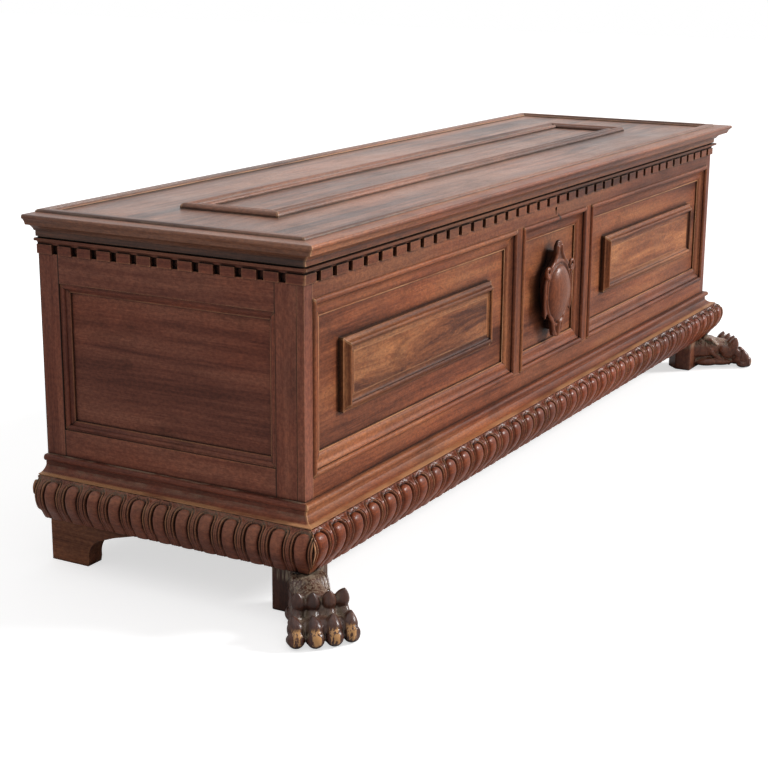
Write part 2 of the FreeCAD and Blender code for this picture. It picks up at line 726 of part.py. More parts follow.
def lid():
    """Lid boards, moulded edges, raised border, centre moulding and battens."""
    for part, spot_y in (("front", FRONT), ("back", FRONT + " + case_depth / 2")):
        board("lid_board_" + part, ("-" + HALF, spot_y, TOP), ("case_length", "case_depth / 2", "lid_thick"))
    edge = (("0", "0"), ("lid_fillet_out", "0"), ("lid_fillet_out", "lid_fillet_up"),
            ("lid_cove_start", "lid_fillet_up", -SHALLOW), ("lid_cove_out", "lid_cove_up", -SLIGHT),
            ("lid_nose_out", "lid_edge_height - lid_nose_height", ROUND),
            ("lid_nose_out", "lid_edge_height"), ("border_out", "lid_edge_height"),
            ("border_out", "lid_thick"), ("0", "lid_thick"))
    wall_mouldings("lid_edge", edge, "(lid_nose_out + lid_nose_height)", TOP, "0")
    border = (("0", "0"), ("border_width", "0"), ("border_width", "border_lip", -SHALLOW),
              ("border_flat", "border_rise"), ("border_round", "border_rise", QUARTER_ROUND),
              ("0", "border_lip"))
    border_depth = "(case_depth + border_out)"
    frame_moulding("lid_border", border, "border_width",
                   ("0", "%s - border_out + %s / 2" % (FRONT, border_depth), LID_TOP),
                   X_AXIS, Y_AXIS, "(case_length + 2 * border_out)", border_depth)
    crown = (("0", "0"), ("crown_mould_width", "0"), ("crown_mould_width", "crown_edge_up", ROUND),
             ("crown_bead_width + crown_valley_width", "crown_edge_up"),
             ("crown_bead_width", "crown_edge_up", ROUND), ("0", "crown_edge_up"))
    frame_moulding("lid_centre_moulding", crown, "crown_mould_width",
                   ("-crown_left", "%s + case_depth / 2 - crown_forward" % FRONT, LID_TOP), X_AXIS, Y_AXIS,
                   "crown_length", "crown_depth")
    battens = []
    for side, way in (("left", -1), ("right", 1)):
        spot = ("%d * lid_batten_place - lid_batten_width / 2" % way, INSIDE_FRONT + " + lid_batten_gap",
                TOP + " - lid_batten_height")
        battens.append(box("lid_batten_" + side, spot,
                           ("lid_batten_width", "%s - %s - 2 * lid_batten_gap" % (INSIDE_BACK, INSIDE_FRONT),
                            "lid_batten_height")))
    keep(group("lid_batten_set", battens), "lid_battens")


BARREL_COUNT = 5


def hinge_half(name, centre_x, on_lid):
    """One iron leaf with its barrels, bored for the pin."""
    pitch = "(hinge_width / %d)" % BARREL_COUNT
    low_x = "%s - hinge_width / 2" % centre_x
    if on_lid:
        level, height = TOP + " + barrel_radius + leaf_clear", "lid_leaf"
        tab_z, first = TOP, 1
    else:
        level, height = TOP + " - barrel_radius - leaf_clear - case_leaf", "case_leaf"
        tab_z, first = TOP + " - barrel_radius - leaf_clear", 0
    pieces = [box(name + "_leaf", (low_x, BACK, level), ("hinge_width", "leaf_thick", height))]
    for index in range(first, BARREL_COUNT, 2):
        spot_x = "%s + %d * %s + barrel_gap / 2" % (low_x, index, pitch)
        length = "%s - barrel_gap" % pitch
        pieces.append(rod("%s_barrel_%d" % (name, index), (spot_x, HINGE_Y, TOP), "barrel_radius", length))
        pieces.append(box("%s_tab_%d" % (name, index), (spot_x, BACK, tab_z),
                          (length, "leaf_thick", "barrel_radius + leaf_clear")))
    bore = rod(name + "_bore", (low_x + " - overrun", HINGE_Y, TOP), "pin_radius + running_gap",
               "hinge_width + 2 * overrun")
    return cut(name, fuse(name + "_iron", pieces), bore)


def hinges():
    """Two iron hinges nailed on the back, with their pins."""
    case_leaves, lid_leaves, pins = [], [], []
    for side, way in (("left", -1), ("right", 1)):
        centre_x = "%d * (%s - hinge_inset)" % (way, HALF)
        case_leaves.append(hinge_half("hinge_case_" + side, centre_x, False))
        lid_leaves.append(hinge_half("hinge_lid_" + side, centre_x, True))
        low_x = "%s - hinge_width / 2 + barrel_gap / 2" % centre_x
        length = "hinge_width - barrel_gap"
        shank = rod("pin_shank_" + side, (low_x + " - pin_head", HINGE_Y, TOP), "pin_radius",
                    length + " + 2 * pin_head")
        heads = [rod("pin_head_%s_%d" % (side, index), (spot_x, HINGE_Y, TOP), "pin_head_radius", "pin_head")
                 for index, spot_x in enumerate((low_x + " - pin_head", "%s + %s" % (low_x, length)))]
        pins.append(fuse("hinge_pin_" + side, [shank] + heads))
    keep(group("hinge_case_set", case_leaves), "hinge_case_leaves")
    keep(group("hinge_lid_set", lid_leaves), "hinge_lid_leaves")
    keep(group("hinge_pin_set", pins), "hinge_pins")


def lock():
    """Iron lock inside the front: plate with bolt keepers, sliding bolt, and the staple under the lid."""
    plate_top = TOP + " - lock_drop"
    bolt_z = TOP + " - bolt_drop - bolt_section"
    bolt_y = "%s + lock_plate + (keeper_depth - bolt_section) / 2" % INSIDE_FRONT
    keeper_z = "%s - (keeper_height - bolt_section) / 2" % bolt_z
    gate = "(staple_thick + 2 * staple_space)"
    gate_x = "(lock_width / 2 - keeper_width - %s)" % gate
    plate = box("lock_sheet", ("-lock_width / 2", INSIDE_FRONT, plate_top + " - lock_height"),
                ("lock_width", "lock_plate", "lock_height"))
    keepers = [box("lock_keeper_%d" % index, (spot_x, INSIDE_FRONT, keeper_z),
                   ("keeper_width", "lock_plate + keeper_depth", "keeper_height"))
               for index, spot_x in enumerate((gate_x + " + " + gate, gate_x + " - keeper_width",
                                               gate_x + " - bolt_length"))]
    channel = box("lock_channel", ("-lock_width", bolt_y + " - bolt_gap", bolt_z + " - bolt_gap"),
                  ("2 * lock_width", "bolt_section + 2 * bolt_gap", "bolt_section + 2 * bolt_gap"))
    keyhole_z = "%s - top_rail_height / 2 + keyhole_radius / 2" % RAIL_TOP
    body = cut("lock_body", fuse("lock_iron", [plate] + keepers), channel)
    keep(cut("lock_body_keyhole", body, keyhole("lock_keyhole", keyhole_z)), "lock_plate")
    bar = box("bolt_bar", (gate_x + " - bolt_length", bolt_y, bolt_z),
              ("bolt_length", "bolt_section", "bolt_section"))
    talon = box("bolt_talon", ("%s - %g * bolt_length" % (gate_x, TALON_SHARE), bolt_y,
                               bolt_z + " - bolt_section"),
                ("bolt_section", "bolt_section", "2 * bolt_section"))
    keep(fuse("bolt_iron", [bar, talon]), "lock_bolt")
    staple_x = "%s + staple_space" % gate_x
    centre_y = "(%s + bolt_section / 2)" % bolt_y
    shank = box("staple_shank", (staple_x, centre_y + " - staple_width / 2", TOP + " - staple_length"),
                ("staple_thick", "staple_width", "staple_length"))
    foot = box("staple_foot_plate", ("%s + staple_thick / 2 - staple_foot / 2" % staple_x,
                                     centre_y + " - staple_width / 2", TOP + " - staple_foot_thick"),
               ("staple_foot", "staple_width", "staple_foot_thick"))
    eye_size = "bolt_section + 4 * bolt_gap"
    eye = box("staple_eye", (staple_x + " - overrun", "%s - (%s) / 2" % (centre_y, eye_size),
                             bolt_z + " - 2 * bolt_gap"),
              ("staple_thick + 2 * overrun", eye_size, eye_size))
    keep(cut("staple_cut", fuse("staple_iron", [shank, foot]), eye), "lid_staple")


def nail(name, spot, inward):
    """Wrought nail: flat cone head outside the face, shank driven inward."""
    head = doc.addObject("Part::Cone", name + "_head")
    bind(head, "Radius1", "nail_head_radius")
    bind(head, "Radius2", "nail_radius")
    bind(head, "Height", "nail_head")
    place(head, spot, FreeCAD.Rotation(Z_AXIS, -inward))
    shank = rod(name + "_shank", spot, "nail_radius", "nail_length", inward)
    return fuse(name, [head, shank])


def nails():
    """Nails of the hinge leaves and the lock on the case, and of the hinge leaves on the lid."""
    leaf_face = BACK + " + leaf_thick"
    case_set, lid_set = [], []
    for side, way in (("left", -1), ("right", 1)):
        centre_x = "%d * (%s - hinge_inset)" % (way, HALF)
        leaf_top = TOP + " - barrel_radius - leaf_clear"
        spots = ((-1, "nail_inset"), (1, "nail_inset"), (0, "case_leaf / 2"), (-1, "case_leaf - nail_inset"),
                 (1, "case_leaf - nail_inset"))
        for index, (column, down) in enumerate(spots):
            across = "%s + %d * (hinge_width / 2 - nail_inset)" % (centre_x, column)
            case_set.append(nail("case_nail_%s_%d" % (side, index),
                                 (across, leaf_face, "%s - %s" % (leaf_top, down)), -Y_AXIS))
        for index, column in enumerate((-1, 0, 1)):
            across = "%s + %d * (hinge_width / 2 - nail_inset)" % (centre_x, column)
            level = TOP + " + barrel_radius + leaf_clear + lid_leaf / 2"
            lid_set.append(nail("lid_nail_%s_%d" % (side, index), (across, leaf_face, level), -Y_AXIS))
        for index, up in enumerate(("nail_inset", "lock_height / 2")):
            across = "%d * (lock_width / 2 - nail_inset)" % way
            level = "%s - lock_drop - lock_height + %s" % (TOP, up)
            case_set.append(nail("lock_nail_%s_%d" % (side, index),
                                 (across, INSIDE_FRONT + " + lock_plate", level), -Y_AXIS))
    keep(group("case_nail_set", case_set), "case_nails")
    keep(group("lid_nail_set", lid_set), "lid_nails")


carcase()
front_frame()
front_mouldings()
end_frames()
cornices()
base_mouldings()
feet()
lid()
hinges()
lock()
nails()
doc.recompute()

for thing in doc.Objects:
    assert "Invalid" not in thing.State and "Error" not in thing.State, thing.Name
for thing in nodes:
    assert not thing.Shape.isNull() and thing.Shape.isValid(), thing.Label

os.makedirs("parts", exist_ok=True)
for thing in nodes:
    thing.Shape.exportStep("parts/%s.step" % thing.Label)
    print("%-24s %2d solids %10.0f mm3" % (thing.Label, len(thing.Shape.Solids), thing.Shape.Volume))
print(len(nodes), "nodes")
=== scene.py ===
"""Walnut marriage chest, dressed for rendering: carved base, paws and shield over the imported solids."""
import math
import random

import bmesh
import bpy
from mathutils import Matrix, Vector


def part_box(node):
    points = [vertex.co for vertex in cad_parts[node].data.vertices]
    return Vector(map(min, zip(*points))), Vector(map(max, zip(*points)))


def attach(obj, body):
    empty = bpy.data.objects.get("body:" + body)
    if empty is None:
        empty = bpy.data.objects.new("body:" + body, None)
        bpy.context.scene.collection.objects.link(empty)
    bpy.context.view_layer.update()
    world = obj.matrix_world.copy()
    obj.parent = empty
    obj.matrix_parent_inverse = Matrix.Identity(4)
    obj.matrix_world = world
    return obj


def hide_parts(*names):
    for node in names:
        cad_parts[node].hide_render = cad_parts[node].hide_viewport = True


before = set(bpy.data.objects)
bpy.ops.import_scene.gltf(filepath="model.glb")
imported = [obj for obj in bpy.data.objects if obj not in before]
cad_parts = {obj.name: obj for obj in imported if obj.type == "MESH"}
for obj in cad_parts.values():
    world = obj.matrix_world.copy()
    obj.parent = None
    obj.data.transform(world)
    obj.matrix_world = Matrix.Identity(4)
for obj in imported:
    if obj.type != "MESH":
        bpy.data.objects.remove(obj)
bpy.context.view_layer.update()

# The photograph's camera, in metres and degrees, fitted to the chest's straight edges.
CAMERA_PLACE = Vector((-2.711, -1.3533, 0.935))
CAMERA_YAW = 60.70
CAMERA_PITCH = 14.99
CAMERA_ROLL = 0.40
CAMERA_LENS = 77.34

# Planes of the carcase, read from the solids.
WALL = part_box("gadroon_front")[1].y
END = -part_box("gadroon_left")[1].x
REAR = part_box("gadroon_left")[1].y
SOLE_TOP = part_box("gadroon_front")[0].z
DIAGONAL = math.sqrt(0.5)

# Carved lobes, counted along the strips. LOBE_LINES goes from a lobe's centre outwards: share of half the
# pitch, depth in mm. The leans are in metres. The front's turns over within FRONT_LEAN_TURN of its middle.
FRONT_LOBES = 36
END_LOBES = 12.4
LOBE_COLUMNS = 44
LOBE_LINES = ((0.0, 0.2), (0.20, 0.4), (0.36, 1.2), (0.46, 2.8), (0.52, 5.2), (0.57, 9.4), (0.61, 9.2),
              (0.65, 3.4), (0.69, 1.0), (0.73, 1.2), (0.79, 5.0), (0.82, 4.8), (0.88, 1.6), (0.94, 1.6),
              (1.0, 3.2), (1.06, 4.0), (1.3, 4.0), (9.0, 4.0))
LOBE_TAPER = 0.06
LOBE_RISE = 0.20
LOBE_SHIFT = 0.03
LOBE_DEEPEST = 0.12
FRONT_LEAN = 0.009
FRONT_LEAN_TURN = 0.3
END_LEAN = -0.015
# The spur between two arched lobes: depth in mm, half its width in metres.
SPUR_DEPTH = 2.2
SPUR_HALF_WIDTH = 0.0018
# The torus under the carving: how it is sampled, and how the foot is filled, in metres.
PROFILE_STEP = 0.0023
PROFILE_MERGE = 0.0008
UNDERCUT_FILL = 0.0055
# The carving starts shallow at the top edge and fades from one share of its height to another.
HEAD_SHARE = 0.25
HEAD_HEIGHT = 0.004
FOOT_START = 0.46
FOOT_FULL = 0.80
FOOT_FADE = 0.68

# Paws, in mm and degrees. Each toe has the place of its claw and of its knuckle sideways, and its reach.
TOES = ((37, 26, 1.0), (11, 7, 1.06), (-16, -16, 1.05), (-42, -36, 0.98))
LEG_OUTLINE = ((0, 0), (62, 0), (62, 34), (38, 58), (0, 58))
KNUCKLE_TILT = 16
CLAW_TILT = -14
HAIR_TUFTS = 10
FLANK_TUFTS = ((2, 56), (11, 44), (21, 33), (32, 24), (44, 16))
# The lumps of the foot: place (forward, sideways, up) in mm, radii in metres.
FOOT_LUMPS = (((60, -5, 34), (0.036, 0.024, 0.020)), ((84, -3, 20), (0.045, 0.022, 0.018)),
              ((50, 0, 13), (0.037, 0.040, 0.0125)), ((18, 0, 14), (0.034, 0.040, 0.0135)))
# Where the claws' bare wood sits, in metres across the paw.
TOE_PITCH = 0.0257
TOE_START = 0.0525

# Shield outlines, right half, as shares of half its width and half its height, top to bottom.
SHIELD_FIELD = ((0.04, 0.76), (0.14, 0.70), (0.20, 0.52), (0.46, 0.36), (0.56, 0.06), (0.50, -0.26),
                (0.28, -0.50), (0.12, -0.70), (0.08, -0.84), (0.03, -0.88))
SHIELD_STRAPS = ((0.08, 0.93), (0.19, 0.86), (0.21, 0.70), (0.38, 0.58), (0.62, 0.46), (0.78, 0.36),
                 (0.84, 0.16), (0.84, -0.24), (0.82, -0.50), (0.62, -0.46), (0.44, -0.58), (0.34, -0.76),
                 (0.26, -0.94), (0.08, -1.0))
SHIELD_SIDE = ((0.80, 0.30), (0.86, 0.14), (0.88, -0.08), (0.87, -0.30), (0.82, -0.52))
SHIELD_TAIL = ((0.58, -0.48), (0.36, -0.62), (0.27, -0.82), (0.10, -0.96))
SHIELD_CREST = ((0.54, 0.46), (0.32, 0.56), (0.15, 0.72), (0.12, 0.86))
SHIELD_PLATE_SHARE = 0.42
RIM_STEPS = 64
RING_STEPS = 12
CURL_STEPS = 18

# Voxel size in metres and smoothing passes of the carved pieces.
PAW_VOXEL, PAW_SMOOTHING = 0.0013, 5
SHIELD_VOXEL, SHIELD_SMOOTHING = 0.0012, 4

# A round on the arrises of straight boards.
ARRIS = 0.0009
ARRIS_ANGLE = 40

# Colours are linear: the dark, middle and light of each wood's figure.
FRONT_TONE = ((0.070, 0.018, 0.008), (0.205, 0.064, 0.028), (0.330, 0.122, 0.050))
TABLET_TONE = ((0.070, 0.020, 0.009), (0.225, 0.080, 0.032), (0.400, 0.172, 0.070))
END_TONE = ((0.072, 0.021, 0.014), (0.158, 0.052, 0.033), (0.240, 0.090, 0.056))
TOP_TONE = ((0.055, 0.019, 0.011), (0.172, 0.069, 0.037), (0.285, 0.130, 0.078))
RAIL_TONE = ((0.050, 0.014, 0.007), (0.150, 0.048, 0.024), (0.240, 0.090, 0.042))
CARVED_TONE = ((0.050, 0.012, 0.005), (0.172, 0.036, 0.011), (0.310, 0.085, 0.029))
CARVED_END_TONE = ((0.085, 0.027, 0.017), (0.198, 0.069, 0.042), (0.300, 0.118, 0.070))
PAW_TONE = ((0.018, 0.007, 0.005), (0.064, 0.024, 0.016), (0.135, 0.058, 0.036))
FAR_PAW_TONE = ((0.034, 0.012, 0.007), (0.125, 0.044, 0.026), (0.230, 0.095, 0.055))
BRACKET_TONE = ((0.060, 0.022, 0.012), (0.165, 0.063, 0.033), (0.265, 0.112, 0.060))
PLAIN_TONE = ((0.105, 0.056, 0.032), (0.200, 0.120, 0.070), (0.300, 0.195, 0.120))
# GRIME is painted shade for corners and creases, and also the dark of joint lines and of the keyhole stain.
GRIME = (0.010, 0.006, 0.005)
# SOOT is painted shade, in bands under the lid's overhang and on the side of the shield's plate.
SOOT = (0.026, 0.013, 0.010)
# WORN lightens edges, partly as worn wood and partly as a painted highlight.
WORN = (0.560, 0.290, 0.140)
DUST = (0.330, 0.255, 0.180)
CLAW = (0.520, 0.270, 0.105)
INK = (0.030, 0.012, 0.008)
STEEL = (0.19, 0.18, 0.17)
# What clouds and mottling do to the wood's colour.
RED_CLOUD, GREY_CLOUD = (1.22, 1.0, 0.86), (0.62, 0.58, 0.62)
DARK_MOTTLE, LIGHT_MOTTLE = (0.55, 0.48, 0.50), (1.35, 1.25, 1.12)
COAT_ROUGHNESS = 0.25
BUMP_STRENGTH = 0.55
BUMP_DEPTH = 0.0011
# Noises of the wood: lumps a metre along and across the grain, detail and roughness.
BEND = ((1.6, 7, 7), 2)
BROAD = ((1.3, 17, 17), 3)
STREAK = ((3.5, 95, 95), 5, 0.62)
FINE = ((17, 620, 620), 3)
PORES = ((85, 2100, 2100), 1)
CLOUD = ((3.2, 6.5, 6.5), 3)
SMUDGE = ((9, 13, 13), 4, 0.6)
MOTTLE = ((150, 240, 240), 3, 0.7)
WAVES = ((26, 48, 48), 3)
DUST_PATCHES = ((30, 60, 60), 4)
BARE_PATCHES = ((60, 230, 230), 3, 0.6)
HAIR = ((22, 420, 420), 3, 0.6)
# Each seed moves the grain by this much.
SEED_SHIFT = (1.37, 0.71, 2.13)
# The middle of the figure's noise, and how far below and above it the dark and the light lie.
FIGURE_MIDDLE, FIGURE_BELOW, FIGURE_ABOVE = 0.49, 0.11, 0.12
# The dark mark at the keyhole: x and z of its centre, half its width and half its height, in metres.
KEY_STAIN = (0.014, 0.456, 0.0042, 0.013)

# Lamps: name, direction of the light, breadth in degrees, strength.
LAMPS = (("key", (-3.2, 3.6, -2.5), 16, 3.3), ("top", (0.4, -0.3, -3.6), 70, 0.95),
         ("end", (3.6, 1.0, -1.6), 50, 0.16))
WORLD_LIGHT = 0.26
FLOOR_HALF = 14
FLOOR_TONE = 0.66
FLOOR_GLOW = 0.62


class Tree:
    """Short calls for the nodes of one material."""

    def __init__(self, name):
        self.material = bpy.data.materials.new(name)
        self.material.use_nodes = True
        self.nodes = self.material.node_tree.nodes
        self.links = self.material.node_tree.links
        self.nodes.clear()

    def feed(self, socket, value):
        if isinstance(value, bpy.types.NodeSocket):
            self.links.new(value, socket)
        elif hasattr(value, "__len__") and len(value) == 3 and socket.type == "RGBA":
            socket.default_value = (*value, 1)
        else:
            socket.default_value = value

    def node(self, kind, **settings):
        node = self.nodes.new("ShaderNode" + kind)
        for key, value in settings.items():
            setattr(node, key, value)
        return node

    def math(self, operation, *values):
        node = self.node("Math", operation=operation)
        for socket, value in zip(node.inputs, values):
            self.feed(socket, value)
        return node.outputs[0]

    def vector(self, operation, *values):
        node = self.node("VectorMath", operation=operation)
        for socket, value in zip(node.inputs, values):
            self.feed(socket, value)
        return node.outputs["Value" if operation == "DOT_PRODUCT" else "Vector"]

    def mix(self, factor, first, second, kind="MIX"):
        node = self.node("Mix", data_type="RGBA", blend_type=kind)
        self.feed(node.inputs[0], factor)
        self.feed(node.inputs[6], first)
        self.feed(node.inputs[7], second)
        return node.outputs[2]

    def step(self, value, low, high, start=0.0, end=1.0):
        """Value between low and high as start to end, smoothly and clamped."""
        node = self.node("MapRange", interpolation_type="SMOOTHSTEP")
        for socket, item in zip(node.inputs, (value, low, high, start, end)):
            self.feed(socket, item)
        return node.outputs[0]

    def noise(self, vector, stretch, detail=2.0, roughness=0.5, colour=False):
        """Noise at so many lumps a metre along each axis."""
        node = self.node("TexNoise")
        self.feed(node.inputs["Vector"], self.vector("MULTIPLY", vector, stretch))
        node.inputs["Scale"].default_value = 1
        node.inputs["Detail"].default_value = detail
        node.inputs["Roughness"].default_value = roughness
        return node.outputs["Color" if colour else 0]

    def ramp(self, factor, stops):
        node = self.node("ValToRGB")
        line = node.color_ramp
        line.elements[0].position, line.elements[-1].position = stops[0][0], stops[-1][0]
        for place, _ in stops[1:-1]:
            line.elements.new(place)
        for element, (_, colour) in zip(line.elements, stops):
            element.color = (*colour, 1)
        self.feed(node.inputs[0], factor)
        return node.outputs[0]

    def bump(self, height, strength, depth):
        node = self.node("Bump")
        node.inputs["Strength"].default_value = strength
        node.inputs["Distance"].default_value = depth
        self.feed(node.inputs["Height"], height)
        return node

    def hollow(self, reach, inside=False):
        """1 in tight corners, or on worn edges where inside, falling to 0 on open faces."""
        node = self.node("AmbientOcclusion", samples=6, inside=inside, only_local=inside)
        node.inputs["Distance"].default_value = reach
        return self.math("SUBTRACT", 1.0, node.outputs["AO"])


def grain_space(tree, axis, frame_of=None, seed=0):
    """Coordinates whose x runs along the grain. A mitred frame changes direction at its diagonals."""
    place = tree.node("TexCoord").outputs["Object"]
    split = tree.node("SeparateXYZ")
    tree.feed(split.inputs[0], place)
    turned = {}
    for way, order in (("x", (0, 1, 2)), ("y", (1, 2, 0)), ("z", (2, 0, 1))):
        join = tree.node("CombineXYZ")
        for socket, index in zip(join.inputs, order):
            tree.feed(socket, split.outputs[index])
        turned[way] = join.outputs[0]
    joint = 0.0
    if frame_of:
        low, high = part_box(frame_of)
        upright = {"x": "z", "y": "z", "xy": "y"}[axis]
        level = axis[0]
        gaps = []
        for way in (level, upright):
            index = "xyz".index(way)
            centre, half = (low[index] + high[index]) / 2, (high[index] - low[index]) / 2
            off = tree.math("ABSOLUTE", tree.math("SUBTRACT", split.outputs[index], centre))
            gaps.append(tree.math("SUBTRACT", half, off))
        difference = tree.math("SUBTRACT", gaps[0], gaps[1])
        mask = tree.math("GREATER_THAN", difference, 0.0)
        vector = tree.node("Mix", data_type="VECTOR")
        tree.feed(vector.inputs[0], mask)
        tree.feed(vector.inputs[4], turned[upright])
        tree.feed(vector.inputs[5], turned[level])
        grain = vector.outputs[1]
        joint = tree.step(tree.math("ABSOLUTE", difference), 0.0004, 0.0011, 1.0, 0.0)
    else:
        grain = turned[axis]
    shift = tuple(seed * step for step in SEED_SHIFT)
    return tree.vector("ADD", grain, shift), split, joint


def curl_mark(tree, split, stain):
    """Where a dark S-shaped mark lies."""
    middle_x, middle_z, half_width, half_height = stain
    up = tree.math("DIVIDE", tree.math("SUBTRACT", split.outputs[2], middle_z), half_height)
    swing = tree.math("MULTIPLY", tree.math("SINE", tree.math("MULTIPLY", up, 3.0)), 0.5)
    across = tree.math("DIVIDE", tree.math("SUBTRACT", split.outputs[0], middle_x), half_width)
    across = tree.math("ADD", across, swing)
    off = tree.math("ADD", tree.math("MULTIPLY", up, up), tree.math("MULTIPLY", across, across))
    return tree.step(off, 0.5, 1.0, 0.9, 0.0)


def side_seams(tree, split, smudge, node, axis):
    """Dark joint lines at both sides of a node, stronger in places."""
    low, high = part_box(node)
    index = "xyz".index(axis)
    middle = (low[index] + high[index]) / 2
    off = tree.math("ABSOLUTE", tree.math("SUBTRACT", split.outputs[index], middle))
    rest = tree.math("SUBTRACT", (high[index] - low[index]) / 2, off)
    return tree.math("MULTIPLY", tree.step(rest, 0.0005, 0.0018, 0.9, 0.0),
                     tree.step(smudge, 0.3, 0.5, 0.5, 1.0))


def hair_and_claws(tree, grain, split):
    """Tufts of hair on a paw's instep, and the bare wood at the tips of its claws."""
    out = tree.math("SUBTRACT", tree.math("ABSOLUTE", split.outputs[0]), END)
    back = tree.math("SUBTRACT", split.outputs[1], WALL)
    ahead = tree.math("MULTIPLY", tree.math("SUBTRACT", out, back), DIAGONAL)
    aside = tree.math("MULTIPLY", tree.math("ADD", out, back), DIAGONAL)
    patchy = tree.noise(grain, *BARE_PATCHES)
    toe = tree.math("DIVIDE", tree.math("ADD", aside, TOE_START), TOE_PITCH)
    toe = tree.math("ADD", toe, tree.math("MULTIPLY", tree.math("SUBTRACT", patchy, 0.5), 0.5))
    toe = tree.math("ABSOLUTE", tree.math("SUBTRACT", tree.math("FRACT", toe), 0.5))
    tip = tree.math("MULTIPLY", tree.step(toe, 0.26, 0.20), tree.step(ahead, 0.090, 0.096))
    rough = tree.math("ADD", split.outputs[2], tree.math("MULTIPLY", patchy, 0.012))
    tip = tree.math("MULTIPLY", tip, tree.step(rough, 0.037, 0.032))
    tip = tree.math("MULTIPLY", tip, tree.step(rough, 0.012, 0.016))
    tip = tree.math("MULTIPLY", tip, tree.step(patchy, 0.42, 0.50))
    hair = tree.noise(grain, *HAIR)
    hair = tree.math("MULTIPLY", tree.step(hair, 0.44, 0.60, 0.0, 0.75),
                     tree.step(split.outputs[2], 0.046, 0.056))
    hair = tree.math("MULTIPLY", hair, tree.step(ahead, 0.062, 0.055))
    return hair, tree.math("MULTIPLY", tip, 0.9)


